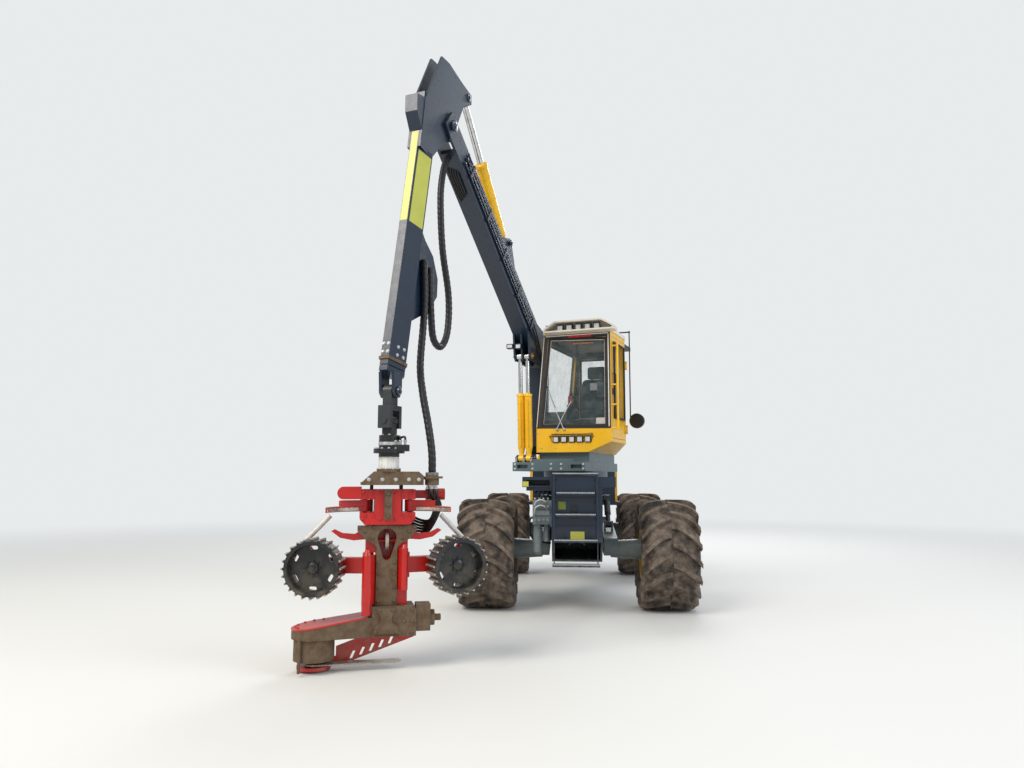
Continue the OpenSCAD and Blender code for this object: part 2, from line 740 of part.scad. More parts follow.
module main_boom() {
  d = rot_dir(tip_p - knee_p);
  n = [-d[1], d[0]];
  color(navy) {
    difference() {
      crane_plate(boom_w)
        polygon([foot_p + [-120, -40], foot_p + [-60, -110], foot_p + [80, -110], foot_p + [160, 0],
                 [270, 2840], [300, 3230], [430, 3440], [640, 3510], tip_p - n * 150 - d * 60,
                 tip_p - n * 130 + d * 110, tip_p + n * 110 + d * 110, tip_p + n * 130 - d * 60,
                 knee_p + [90, 330], knee_p + [-230, 240], knee_p + [-400, -90]]);
      cross_cyl(foot_p, 90 + 2 * fit, 400);
      // fork round the stick's foot
      crane_plate(stick_w + 2 * pin_gap)
        polygon([tip_p - d * 230 - n * 300, tip_p + d * 300 - n * 300, tip_p + d * 300 + n * 300,
                 tip_p - d * 345 + n * 300, tip_p - d * 345, tip_p - d * 230 - n * 60]);
    }
    // lugs for the lift rods
    for (o = [-107, 0, 107])
      crane_plate(lug_t, lift_off + o)
        polygon([[340, 3250], lift_hi + [-50, -60], lift_hi + [20, -70], lift_hi + [70, -20],
                 lift_hi + [80, 60], [800, 3640], [380, 3480]]);
    // lugs for the stick cylinder
    for (s = [-1, 1])
      crane_plate(28, s * (60 + pin_gap + 14))
        polygon([[1140, 4180], [1780, 4700], cyl_p + [50, 50], cyl_p + [-20, 70],
                 cyl_p + [-75, 10]]);
    // work lamps under the knee
    crane_plate(80, -15) polygon([[760, 3420], [850, 3420], [850, 3492], [760, 3492]]);
    crane_plate(88, -156) polygon([[725, 3440], [800, 3440], [800, 3505], [725, 3505]]);
    // pipe rails on the left side
    for (z = [-40, 30])
      crane_plate(26, boom_w / 2 + 12)
        polygon([knee_p + d * 500 + n * z, knee_p + d * 500 + n * (z + 26),
                 tip_p - d * 500 + n * (z + 26), tip_p - d * 500 + n * z]);
  }
  color(chrome) {
    cross_cyl(tip_p, 90, boom_w + 40);
    cross_cyl(cyl_p, 60, 230);
  }
}

module lift_barrels() {
  color(yellow) for (o = [-53, 53])
    difference() {
      union() {
        crane_rod(lift_lo, lift_hi, 0, 70, 68, lift_off + o);
        crane_cone(lift_lo, lift_hi, 65, 150, 64, lift_d - 2, lift_off + o);
        crane_rod(lift_lo, lift_hi, 145, 860, lift_d, lift_off + o);
        cross_cyl(lift_lo, 96, 107 - lug_t - 2 * pin_gap, lift_off + o);
      }
      cross_cyl(lift_lo, 50 + 2 * fit, 300, lift_off);
      crane_rod(lift_lo, lift_hi, 110, 870, 56 + 2 * fit, lift_off + o);
    }
}

module lift_rods() {
  color(chrome) for (o = [-53, 53]) {
    crane_rod(lift_lo, lift_hi, 515, dist(lift_lo, lift_hi), 56, lift_off + o);
    cross_cyl(lift_hi, 84, 107 - lug_t - 2 * pin_gap, lift_off + o);
  }
}

module stick_barrel() {
  color(yellow) difference() {
    union() {
      crane_rod(cyl_p, tail_p, 0, 1060, 112);
      crane_rod(cyl_p, tail_p, 110, 1060, stickcyl_d);
      cross_cyl(cyl_p, 130, 120);
    }
    crane_rod(cyl_p, tail_p, 130, 1070, 80 + 2 * fit);
    cross_cyl(cyl_p, 60 + 2 * fit, 300);
  }
}

module stick_rod() {
  color(chrome) {
    crane_rod(cyl_p, tail_p, 800, dist(cyl_p, tail_p), 80);
    cross_cyl(tail_p, 120, stick_w - 44 - 2 * pin_gap);
  }
}

// axis of the stick in the crane plane, from its head to its end
function st_at(s, n) = st_top + st_dir * s + st_n * n;

module stick() {
  color(pale) difference() {
    union() {
      stick_tube(stick_skin, 520, st_len);
      // side plates to the foot and the tail
      for (s = [-1, 1])
        crane_plate(22, s * (stick_w / 2 - 11))
          polygon([st_at(560, -115), st_at(560, 125), st_at(0, 140), [3340, 6240], [3160, 6250],
                   [2860, 6190], tail_p + [-80, 60], tail_p + [-80, -50], [2800, 5900],
                   [2990, 5560], [2990, 5450], [3050, 5380], [3230, 5330]]);
      // boss between them
      crane_plate(stick_w - 42)
        polygon([tip_p + [-70, -40], tip_p + [0, -80], tip_p + [70, -40], tip_p + [70, 40],
                 tip_p + [0, 80], tip_p + [-70, 40]]);
      // front plate up to the head
      crane_plate(stick_w - 42)
        polygon([st_at(-100, 80), st_at(-100, 138), st_at(560, 124), st_at(560, 90)]);
      // lamp housing on the front
      crane_plate(140) polygon([[3700, 5600], [3860, 5570], [3860, 5390], [3740, 5180]]);
    }
    cross_cyl(tip_p, 90 + 2 * fit, 400);
    cross_cyl(tail_p, 60, 400);
    stick_tube(stick_bore, 500, st_len + 10);
  }
  // fin that carries the hose clamp
  color(navy) crane_plate(20)
    polygon([st_at(1260, -140), [3530, 4130], [3360, 4010], [3250, 3790], [3260, 3600],
             [3450, 3400], st_at(2400, -140)]);
}

module stick_extension() {
  color(grey) difference() {
    union() {
      stick_tube(tele_skin, 620, st_len + 40);
      stick_tube(stick_skin, st_len + 8, st_len + 60);
      for (s = [-1, 1])
        crane_plate(30, s * (tele_w / 2 + 15))
          polygon([st_at(st_len + 50, -90), st_at(st_len + 50, 60), end_p + [65, 0],
                   end_p + [30, -60], end_p + [-30, -60], end_p + [-65, 0]]);
    }
    stick_tube(tele_bore, 600, st_len);
  }
  color(chrome) cross_cyl(end_p, 60, tele_w + 70);
}

// link that hangs from the end pin, with the lower pin fore and aft
module tip_link() {
  w = tele_w - 2 * pin_gap;
  color(grey) difference() {
    union() {
      cross_cyl(end_p, 130, w);
      hang() translate([-w / 2, -55, low_z + 100]) cube([w, 110, end_p[1] - low_z - 110]);
      for (s = [-1, 1]) hang() translate([-65, s * 82 - 22, low_z - 70]) cube([130, 44, 200]);
      hang() translate([-65, -104, low_z + 90]) cube([130, 208, 50]);
    }
    cross_cyl(end_p, 60 + 2 * fit, 400);
  }
  color(chrome) hang() translate([0, 0, low_z]) rotate([90, 0, 0]) cylinder(h = 230, d = 60, center = true);
}

// place under the end pin, in upper carriage axes
module hang() {
  upper() translate([-crane_t, -end_p[0], 0]) children();
}

module rotator_cross() {
  color(black) difference() {
    union() {
      hang() translate([0, 0, low_z]) rotate([90, 0, 0]) cylinder(h = 108, d = 120, center = true);
      hang() {
        translate([-50, -50, 2090]) cube([100, 100, low_z - 2100]);
        translate([0, 0, 1900 + gap]) cylinder(h = 195, d = 190);
        translate([0, 0, 1930]) cylinder(h = 40, d = 285);
        translate([20, -70, 1945]) cube([200, 60, 60]);
      }
    }
    hang() translate([0, 0, low_z]) rotate([90, 0, 0]) cylinder(h = 400, d = 60 + 2 * fit, center = true);
    hang() translate([0, 0, 1890]) cylinder(h = 100, d = 70 + 2 * fit);
  }
}

// head
// head axes: x across, -y toward the tree, z up; tilt pins at tilt_y, tilt_z

module head_hanger() {
  color(brown) head_place() {
    difference() {
      union() {
        translate([-245, -90, 1640]) cube([520, 490, 24]);
        // tapered block under the rotator
        across_y(-90, 140)
          polygon([[-245, 1640], [315, 1640], [315, 1725], [270, 1763], [-130, 1763], [-240, 1664]]);
        for (s = [-1, 1])
          translate([s * yoke_x, 0, 0]) rotate([90, 0, 90]) translate([0, 0, -15]) linear_extrude(30)
            hull() {
              translate([290, 1600]) square([110, 60]);
              translate([tilt_y, tilt_z]) circle(r = 58);
            }
        translate([0, 0, 1760]) cylinder(h = 140, d = 185);
        translate([0, 0, 1760]) cylinder(h = 25, d = 220);
        translate([0, 0, 1760]) cylinder(h = 220, d = 70);
      }
      translate([-400, tilt_y, tilt_z]) rotate([0, 90, 0]) cylinder(h = 800, d = 60 + 2 * fit);
    }
    // bracket and swivel that take the hoses
    translate([250, -60, 1690]) cube([180, 120, 20]);
    translate([400, 0, 1700]) cylinder(h = 20, d = 200);
    translate([400, 0, 1715]) cylinder(h = 41.1, d = 120);
    translate([400, 0, 1640]) cylinder(h = 61, d = 130);
  }
}

module head_frame() {
  color(red) head_place() {
    difference() {
      union() {
        translate([-190, 40, 560]) cube([380, 228, 721]);
        // upper body
        across_y(-20, 268)
          polygon([[-250, 1330], [-205, 1280], [205, 1280], [250, 1330], [250, 1600], [-250, 1600]]);
        // rounded guard on the right of the body
        across_y(-30, 190) hull() {
          translate([-400, 1568]) circle(r = 56);
          translate([-270, 1512]) square([30, 112]);
        }
        // bracket on the left of the body
        translate([240, 120, 1515]) cube([130, 110, 75]);
        // lugs of the tilt pin
        for (s = [-1, 1])
          translate([s * (yoke_x - 36), 0, 0]) rotate([90, 0, 90]) translate([0, 0, -15]) linear_extrude(30)
            polygon([[260, 1080], [260, 1280], [tilt_y + 30, 1232], [tilt_y + 55, 1200],
                     [tilt_y + 55, 1160], [tilt_y + 30, 1128]]);
        // guide horns beside the column
        for (s = [-1, 1])
          across_y(41, 81)
            polygon([[s * 180, 1150], [s * 300, 1140], [s * 420, 1165], [s * 500, 1225],
                     [s * 470, 1242], [s * 400, 1207], [s * 290, 1197], [s * 180, 1262]]);
      }
      // slot of the measuring wheel
      across_y(39, 189) wheel_slot();
      // pockets of the feed arms and the knives
      for (s = [-1, 1]) {
        translate([s > 0 ? 100 : -241, -70, 790]) cube([141, 420, 240]);
        translate([s > 0 ? 120 : -291, -70, 1390]) cube([171, 420, 120]);
      }
    }
    // column guards: a tall one on the right and a short one on the left
    translate([0, 0, 576]) linear_extrude(434) hull() {
      translate([-176, -48]) circle(r = 45);
      translate([-130, 30]) square([34, 30]);
    }
    translate([-176, -48, 490]) cylinder(h = 90, r = 43);
    translate([-176, -48, 1005]) cylinder(h = 60, r1 = 43, r2 = 18);
    translate([0, 0, 700]) linear_extrude(370) hull() {
      translate([155, -25]) circle(r = 35);
      translate([96, 30]) square([34, 30]);
    }
    translate([155, -25, 1065]) cylinder(h = 39, r1 = 33, r2 = 15);
    for (s = [-1, 1]) {
      translate([s * 205, 110, 1380]) cylinder(h = 140, d = 44);
      translate([s * 165, 110, 780]) cylinder(h = 260, d = 44);
    }
  }
  color(pale) head_place()
    translate([360, 175, 1552]) rotate([0, 90, 0]) cylinder(h = 180, d = 110);
  color(chrome) head_place() {
    translate([-165, tilt_y, tilt_z]) rotate([0, 90, 0]) cylinder(h = 330, d = 60);
    translate([-95, wheel_y, wheel_z]) rotate([0, 90, 0]) cylinder(h = 190, d = 24);
  }
}

// opening round the measuring wheel, in x and z
module wheel_slot() hull() {
  translate([0, wheel_z + 30]) circle(r = 85);
  translate([0, wheel_z - 130]) circle(r = 38);
}

module wear_plates() {
  color(brown) head_place() difference() {
    union() {
      across_y(5, 40)
        polygon([[-95, 562], [95, 562], [95, 1075], [120, 1106], [200, 1150], [268, 1225],
                 [268, 1274], [-268, 1274], [-268, 1225], [-200, 1150], [-120, 1106], [-95, 1075]]);
      translate([-35, -50, 1330]) cube([70, 30, 265]);
    }
    across_y(-60, 60) wheel_slot();
  }
}

// foot of the column with its worn face plate and the housing on the left
module head_base() {
  color(brown) head_place() {
    across_y(-60, 240)
      polygon([[box_x, 300], [270, 300], [270, 530], [250, 560], [box_x, 560]]);
    across_y(-82, -59)
      polygon([[-118, 325], [125, 325], [95, 400], [50, 425], [50, 470], [92, 548], [-85, 548],
               [-45, 470], [-45, 425], [-88, 400]]);
    translate([269, -40, 335]) cube([131, 170, 235]);
    translate([399, 40, 440]) rotate([0, 90, 0]) cylinder(h = 42, d = 140);
    translate([440, 40, 440]) rotate([0, 90, 0]) cylinder(h = 60, d = 60);
  }
}

module saw_box() {
  color(brown) head_place() {
    difference() {
      translate([0, 0, 300]) linear_extrude(300) hull() {
        translate([saw_x, saw_y]) circle(r = turret_r + 22);
        translate([box_x - 10, -60]) square([10, 300]);
      }
      // top that falls away from the column
      translate([box_x, 0, box_z]) rotate([0, -box_fall, 0])
        translate([-900, -500, -0.15]) cube([1000, 1000, 300]);
    }
    // turret of the saw motor, the pin of the bar and the post behind it
    translate([saw_x, saw_y, 110]) cylinder(h = 191, r = turret_r);
    translate([saw_x, saw_y, 55]) cylinder(h = 60, d = 40);
    translate([saw_x - 60, 160, 50]) cube([120, 50, 61]);
    translate([-740, -106, 30]) cylinder(h = 280, d = 26);
  }
}

// red plates over, under and behind the saw box
module saw_covers() {
  color(red) head_place() {
    translate([box_x, 0, box_z]) rotate([0, -box_fall, 0]) linear_extrude(14) hull() {
      translate([(saw_x - box_x) / cos(box_fall), saw_y]) circle(r = turret_r + 26);
      translate([-40, -64]) square([10, 308]);
    }
    translate([saw_x, saw_y + 60, saw_z]) cylinder(h = 30, r = 150);
    // slotted plate that rises to the foot of the column
    difference() {
      across_y(140, 160)
        polygon([[saw_x - 80, 50], [-330, 50], [270, 255], [270, 300], [box_x, 300], [-430, 195],
                 [-430, 110], [saw_x - 80, 110]]);
      for (i = [0 : 4])
        across_y(130, 170)
          polygon([[-310 + i * 85, 82 + i * 29], [-286 + i * 85, 82 + i * 29],
                   [-256 + i * 85, 150 + i * 29], [-280 + i * 85, 150 + i * 29]]);
    }
  }
}

module measuring_wheel() {
  color(chrome) head_place() translate([0, wheel_y, wheel_z]) rotate([0, 90, 0]) difference() {
    cylinder(h = 30, r = 88, center = true);
    cylinder(h = 32, r = 12 + fit, center = true);
  }
}

module saw_bar() {
  color(chrome) head_place() translate([0, 0, saw_z + 40]) difference() {
    linear_extrude(12) hull() {
      translate([saw_x, saw_y]) circle(r = 60);
      translate([saw_x + 710, saw_y]) circle(r = 45);
    }
    translate([saw_x, saw_y, -1]) cylinder(h = 20, r = 20 + fit);
  }
}

// arm from its pin beside the frame to the roller's hub, opened outward
module feed_arm(s) {
  color(red) head_place() mirror([s > 0 ? 0 : 1, 0, 0])
    difference() {
      union() {
        translate([165, 110, 796]) cylinder(h = 228, d = 100);
        translate([0, 0, 840]) linear_extrude(140) hull() {
          translate([175, 110]) circle(d = 90);
          translate([roller_x - 40, 215]) circle(d = 110);
        }
        translate([roller_x, 0, 910]) rotate([0, 0, arm_splay]) rotate([-90, 0, 0]) {
          translate([0, 0, 50]) cylinder(h = 210, d = 190);
          translate([0, 0, -20]) cylinder(h = 100, d = 80);
        }
        // ear behind the roller
        across_y(205, 240)
          polygon([[roller_x - 60, 950], [roller_x + 90, 870], [roller_x + 170, 1060],
                   [roller_x + 120, 1120], [roller_x + 60, 1110]]);
      }
      translate([165, 110, 700]) cylinder(h = 400, d = 44 + 2 * fit);
    }
  // guard tube of the arm's hoses
  color(pale) head_place() mirror([s > 0 ? 0 : 1, 0, 0])
    translate([roller_x + 132, 223, 1085]) rotate([0, -43.4, 0]) cylinder(h = 375, d = 45);
}

module feed_roller(s) {
  r = roller_d / 2;
  color(black) head_place() mirror([s > 0 ? 0 : 1, 0, 0])
    translate([roller_x, 0, 910]) rotate([0, 0, arm_splay]) rotate([90, 0, 0]) {
      difference() {
        cylinder(h = roller_w, d = roller_d - 50, center = true);
        translate([0, 0, 30]) cylinder(h = roller_w, d = roller_d - 110);
        translate([0, 0, -roller_w / 2 - 1]) cylinder(h = 110, d = roller_d - 110);
        cylinder(h = 100, r = 40 + fit, center = true);
        for (i = [0 : 5])
          rotate([0, 0, i * 60 + 30]) translate([0, 0, -30]) linear_extrude(80) hull()
            for (t = [-20, 20]) translate([r - 88, t]) circle(r = 17);
      }
      // rows of wedge teeth
      for (i = [0 : 23], z = [4 - roller_w / 2, 6])
        rotate([0, 0, i * 15]) translate([0, 0, z]) linear_extrude(roller_w / 2 - 10)
            polygon([[r - 37, -17], [r, -5], [r, 5], [r - 37, 17]]);
    }
}

module knife(s) {
  color(red) head_place() mirror([s > 0 ? 0 : 1, 0, 0]) difference() {
    union() {
      translate([205, 110, 1396]) cylinder(h = 108, d = 90);
      translate([0, 0, 1400]) linear_extrude(44)
        polygon([[205, 155], [290, 137], [358, 113], [418, 70], [465, 23], [502, -32],
                 [527, -89], [545, -150], [552, -212], [545, -222], [538, -218], [518, -165],
                 [483, -110], [452, -64], [415, -23], [372, 10], [322, 37], [262, 55],
                 [205, 65]]);
      translate([0, 0, 1443]) linear_extrude(57)
        polygon([[205, 150], [290, 132], [355, 108], [412, 66], [440, 20], [425, -10],
                 [375, 16], [325, 42], [265, 60], [205, 70]]);
    }
    translate([205, 110, 1300]) cylinder(h = 300, d = 44 + 2 * fit);
  }
}

// hoses

// ring of points round p, square to the direction u
function ring(p, u, r, n) = let(
    a = norm(cross(u, [0, 1, 0.1])) > 0.2 ? cross(u, [0, 1, 0.1]) : cross(u, [1, 0, 0]),
    e1 = a / norm(a), e2 = cross(u, e1))
  [for (k = [0 : n - 1]) p + e1 * r * cos(360 * k / n) + e2 * r * sin(360 * k / n)];
// smooth curve through the points, m steps on each span
function spline(q, m) = [for (i = [0 : len(q) - 2], j = [0 : m - 1])
    let(t = j / m, a = q[max(i - 1, 0)], b = q[i], c = q[i + 1], d = q[min(i + 2, len(q) - 1)])
    (2 * b + (c - a) * t + (2 * a - 5 * b + 4 * c - d) * t * t + (3 * b - a - 3 * c + d) * t * t * t) / 2];
function with_end(q, m) = concat(spline(q, m), [q[len(q) - 1]]);

module tube(q, r, m = 3, n = 10) {
  c = with_end(q, m);
  l = len(c);
  pts = [for (i = [0 : l - 1]) let(u = c[min(i + 1, l - 1)] - c[max(i - 1, 0)])
    each ring(c[i], u / norm(u), r, n)];
  polyhedron(pts, concat(
    [[for (k = [0 : n - 1]) k]],
    [[for (k = [n - 1 : -1 : 0]) (l - 1) * n + k]],
    [for (i = [0 : l - 2], k = [0 : n - 1])
      [i * n + k, (i + 1) * n + k, (i + 1) * n + (k + 1) % n, i * n + (k + 1) % n]]), convexity = 6);
}

// points are [left of the crane plane, ahead, up]
function crane_pts(q) = [for (p = q) [p[0] - crane_t, -p[1], p[2]]];
module stick_hoses() {
  color(black) upper() tube(crane_pts(loop_path), 36);
}
module head_hoses() {
  color(black) upper() tube(crane_pts(head_path), 36);
}

front_frame();
front_arms();
front_struts();
ladder();
slew_ring();
valve_block();
rear_frame();
rear_arms();
rear_struts();
engine_block();
tanks();
engine_hood();
steer_barrel(1);  // steer_barrel_left
steer_barrel(-1);  // steer_barrel_right
steer_rod(1);  // steer_rod_left
steer_rod(-1);  // steer_rod_right
color(brown) at_axle(1, axle_yf) tyre();  // tyre_front_left
color(brown) at_axle(-1, axle_yf) tyre();  // tyre_front_right
color(brown) at_axle(1, axle_yr) tyre();  // tyre_rear_left
color(brown) at_axle(-1, axle_yr) tyre();  // tyre_rear_right
color(yellow) at_axle(1, axle_yf) rim();  // rim_front_left
color(yellow) at_axle(-1, axle_yf) rotate([180, 0, 0]) rim();  // rim_front_right
color(yellow) at_axle(1, axle_yr) rim();  // rim_rear_left
color(yellow) at_axle(-1, axle_yr) rotate([180, 0, 0]) rim();  // rim_rear_right
deck();
crane_base();
cab_shell();
cab_roof();
cab_glass();
cab_lamps();
cab_seat();
cab_controls();
cab_door();
cab_mirror();
main_boom();
lift_barrels();
lift_rods();
stick_barrel();
stick_rod();
stick();
stick_extension();
tip_link();
rotator_cross();
head_hanger();
head_frame();
wear_plates();
saw_box();
head_base();
saw_covers();
saw_bar();
measuring_wheel();
feed_arm(1);  // feed_arm_left
feed_arm(-1);  // feed_arm_right
feed_roller(1);  // feed_roller_left
feed_roller(-1);  // feed_roller_right
knife(1);  // knife_left
knife(-1);  // knife_right
stick_hoses();
head_hoses();
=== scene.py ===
"""Looks of a wheeled forestry harvester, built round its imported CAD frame.

Every piece is in metres in the frame's own axes: +Z up, the lower machine faces -Y,
+X is its left side and the origin lies on the ground under the slewing axis.
"""
import logging
import math
from dataclasses import dataclass, field
from enum import Enum

import bpy
import numpy as np
from mathutils import Matrix, Vector


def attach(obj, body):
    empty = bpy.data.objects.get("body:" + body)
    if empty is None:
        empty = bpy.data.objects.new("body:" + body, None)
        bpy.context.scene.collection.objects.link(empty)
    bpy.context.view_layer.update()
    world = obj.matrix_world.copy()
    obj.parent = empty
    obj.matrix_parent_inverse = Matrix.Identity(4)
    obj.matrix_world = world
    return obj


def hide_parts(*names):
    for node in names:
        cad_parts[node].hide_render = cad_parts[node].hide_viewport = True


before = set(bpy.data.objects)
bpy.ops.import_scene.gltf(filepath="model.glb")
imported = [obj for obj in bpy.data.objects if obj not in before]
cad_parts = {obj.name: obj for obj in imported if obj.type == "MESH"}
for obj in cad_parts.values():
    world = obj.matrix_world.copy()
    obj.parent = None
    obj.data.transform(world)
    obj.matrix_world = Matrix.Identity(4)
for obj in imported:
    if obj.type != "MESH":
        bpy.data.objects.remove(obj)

LOG = logging.getLogger("harvester")
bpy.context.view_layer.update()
MM = 0.001

Pair = tuple[float, float]
Point = tuple[float, float, float]
Node = bpy.types.Node
Tree = bpy.types.NodeTree


def linear(code: str, alpha: float = 1.0) -> tuple[float, float, float, float]:
    """Turns an sRGB hex colour into the linear values that a shader takes.

    Args:
        code: six hex digits, with or without a leading hash.
        alpha: the fourth value.

    Returns:
        Red, green, blue and alpha.
    """
    s = np.array([int(code.lstrip("#")[i:i + 2], 16) for i in (0, 2, 4)]) / 255
    r, g, b = np.where(s <= 0.04045, s / 12.92, ((s + 0.055) / 1.055) ** 2.4)
    return float(r), float(g), float(b), alpha


def wire(tree: Tree, node: Node, ins: dict[str | int, object]) -> None:
    """Fills a node's inputs.

    Args:
        tree: the node tree that holds the node.
        node: the node.
        ins: what goes into each input, by name or number: a socket is linked, a node is linked from its
            first output in use, and anything else is set as a value.
    """
    for key, value in ins.items():
        if isinstance(value, Node):
            value = next(out for out in value.outputs if out.enabled)
        if isinstance(value, bpy.types.NodeSocket):
            tree.links.new(value, node.inputs[key])
        else:
            node.inputs[key].default_value = value


def add(tree: Tree, kind: str, ins: dict[str | int, object] | None = None, **settings: object) -> Node:
    """Adds one shader node with its settings, values and links.

    Args:
        tree: the node tree.
        kind: the node's class name, without its ShaderNode start.
        ins: what goes into each input, as wire takes it.
        settings: the node's own properties.

    Returns:
        The new node.
    """
    made = tree.nodes.new("ShaderNode" + kind)
    for key, value in settings.items():
        setattr(made, key, value)
    wire(tree, made, ins or {})
    return made


# How two numbers join in a Math node, and the kind of Mix that takes colours

PRODUCT = {"operation": "MULTIPLY", "use_clamp": True}
SUM = {"operation": "ADD", "use_clamp": True}
LESS = {"operation": "SUBTRACT", "use_clamp": True}
LARGER = {"operation": "MAXIMUM", "use_clamp": True}
COLOURS = {"data_type": "RGBA"}


def speckle(tree: Tree, size_mm: float, low: float, high: float, to_low: float = 0.0,
            to_high: float = 1.0, detail: float = 4.0, stretch: Point = (1, 1, 1)) -> Node:
    """A cloudy pattern on Object coordinates whose patches are size_mm across.

    Args:
        tree: the material's node tree.
        size_mm: real size of one patch in millimetres.
        low, high: the noise values that become to_low and to_high.
        to_low, to_high: the ends of the result.
        detail: octaves of finer noise.
        stretch: how much the pattern is squeezed along each axis.

    Returns:
        The node that gives the pattern.
    """
    place = add(tree, "TexCoord").outputs["Object"]
    if stretch != (1, 1, 1):
        place = add(tree, "Mapping", {"Vector": place, "Scale": stretch})
    noise = add(tree, "TexNoise", {"Vector": place, "Scale": 1 / (size_mm * MM), "Detail": detail,
                                   "Roughness": 0.6})
    return add(tree, "MapRange", {"Value": noise, "From Min": low, "From Max": high, "To Min": to_low,
                                  "To Max": to_high})


def facing_up(tree: Tree, start: float, end: float) -> Node:
    """How far a surface faces up: 0 where its normal rises by start or less, 1 where it rises by end.

    Args:
        tree: the material's node tree.
        start, end: heights of the unit normal.

    Returns:
        The node that gives the share.
    """
    normal = add(tree, "NewGeometry").outputs["Normal"]
    rise = add(tree, "SeparateXYZ", {0: normal}).outputs["Z"]
    return add(tree, "MapRange", {"Value": rise, "From Min": start, "From Max": end})


# Finishes


@dataclass(frozen=True)
class Finish:
    """What every finish has: its name, the record's slot and the plain shader values."""

    name: str
    slot: str
    colour: str
    roughness: float = 0.5
    metallic: float = 0.0
    ior: float = 1.5

    def tone(self, factor: float, lift: float = 0.0) -> tuple[float, float, float, float]:
        """The finish's own colour made darker or lighter: min(1, factor c + lift)."""
        return tuple(min(1.0, v * factor + lift) for v in linear(self.colour)[:3]) + (1.0,)

    def layers(self, tree: Tree) -> dict[str, object]:
        """What goes into the shader's inputs over the plain values, here nothing."""
        return {}

    def surface(self, tree: Tree, shader: Node) -> Node:
        """What the material's output takes, here the shader itself."""
        return shader

    def build(self) -> bpy.types.Material:
        """Makes the material: a Principled shader with the plain values and the layers over them.

        Returns:
            The material.
        """
        made = bpy.data.materials.new(self.name)
        made.use_nodes = True
        tree = made.node_tree
        tree.nodes.clear()
        shader = add(tree, "BsdfPrincipled", {"Base Color": linear(self.colour), "Roughness": self.roughness,
                                              "Metallic": self.metallic, "IOR": self.ior})
        wire(tree, shader, self.layers(tree))
        add(tree, "OutputMaterial", {"Surface": self.surface(tree, shader)}).is_active_output = True
        made.diffuse_color = linear(self.colour)
        return made


@dataclass(frozen=True)
class MachinePaint(Finish):
    """Sprayed two-pack machine enamel on plate steel: an even gloss film with a fine orange peel,
    scuffs down to the primer on rubbed spots, dust on what faces up and dried mud low down."""

    worn: str = "#4a4038"
    dust: str = "#8d8268"
    mud_top: float = 1.1
    mud: float = 0.6
    scuffs: float = 0.5
    dusty: float = 0.25
    coat: float = 0.25

    def soil(self, tree: Tree) -> Node:
        """How much dirt lies on each spot: the larger of settled dust and of mud that thins out with height.

        Args:
            tree: the material's node tree.

        Returns:
            The node that gives the share.
        """
        upward = add(tree, "Math", {0: facing_up(tree, 0.35, 0.9), 1: self.dusty}, **PRODUCT)
        settled = add(tree, "Math", {0: upward, 1: speckle(tree, 160, 0.3, 0.62, 0.3, 1.0, 6.0)}, **PRODUCT)
        height = add(tree, "SeparateXYZ", {0: add(tree, "TexCoord").outputs["Object"]}).outputs["Z"]
        low = add(tree, "MapRange", {"Value": height, "From Min": self.mud_top, "From Max": 0.25})
        splash = add(tree, "Math", {0: low, 1: self.mud}, **PRODUCT)
        splash = add(tree, "Math", {0: splash, 1: speckle(tree, 90, 0.42, 0.6, detail=7.0)}, **PRODUCT)
        return add(tree, "Math", {0: settled, 1: splash}, **LARGER)

    def layers(self, tree: Tree) -> dict[str, object]:
        """Shades the film and lays scuffs, dirt and orange peel on it.

        Args:
            tree: the material's node tree.

        Returns:
            What goes into the shader's inputs.
        """
        film = add(tree, "Mix", {0: speckle(tree, 420, 0.35, 0.7, 0.0, 0.8, 3.0), 6: linear(self.colour),
                                 7: self.tone(0.78)}, **COLOURS)
        spots, zones = speckle(tree, 26, 0.66, 0.72, detail=7.0), speckle(tree, 300, 0.5, 0.62)
        scuff = add(tree, "Math", {0: add(tree, "Math", {0: spots, 1: zones}, **PRODUCT), 1: self.scuffs},
                    **PRODUCT)
        film = add(tree, "Mix", {0: scuff, 6: film, 7: linear(self.worn)}, **COLOURS)
        soil = self.soil(tree)
        rough = add(tree, "MapRange", {"Value": soil, "To Min": self.roughness, "To Max": 0.85})
        # real orange peel is under 1 mm across, drawn at 9 mm so that it shows
        crumbs = add(tree, "Math", {0: soil, 1: speckle(tree, 12, 0.3, 0.7)}, **PRODUCT)
        peel = add(tree, "Math", {0: speckle(tree, 9, 0.3, 0.7, 0.0, 0.25), 1: crumbs}, **SUM)
        edge = add(tree, "Bevel", {"Radius": 0.007}, samples=3)
        return {
            "Base Color": add(tree, "Mix", {0: soil, 6: film, 7: linear(self.dust)}, **COLOURS),
            "Roughness": add(tree, "Math", {0: rough, 1: speckle(tree, 60, 0.3, 0.7, -0.05, 0.07)}, **SUM),
            "Coat Weight": self.coat,
            "Coat Roughness": 0.18,
            "Normal": add(tree, "Bump", {"Strength": 0.2, "Distance": 0.002, "Height": peel, "Normal": edge}),
        }


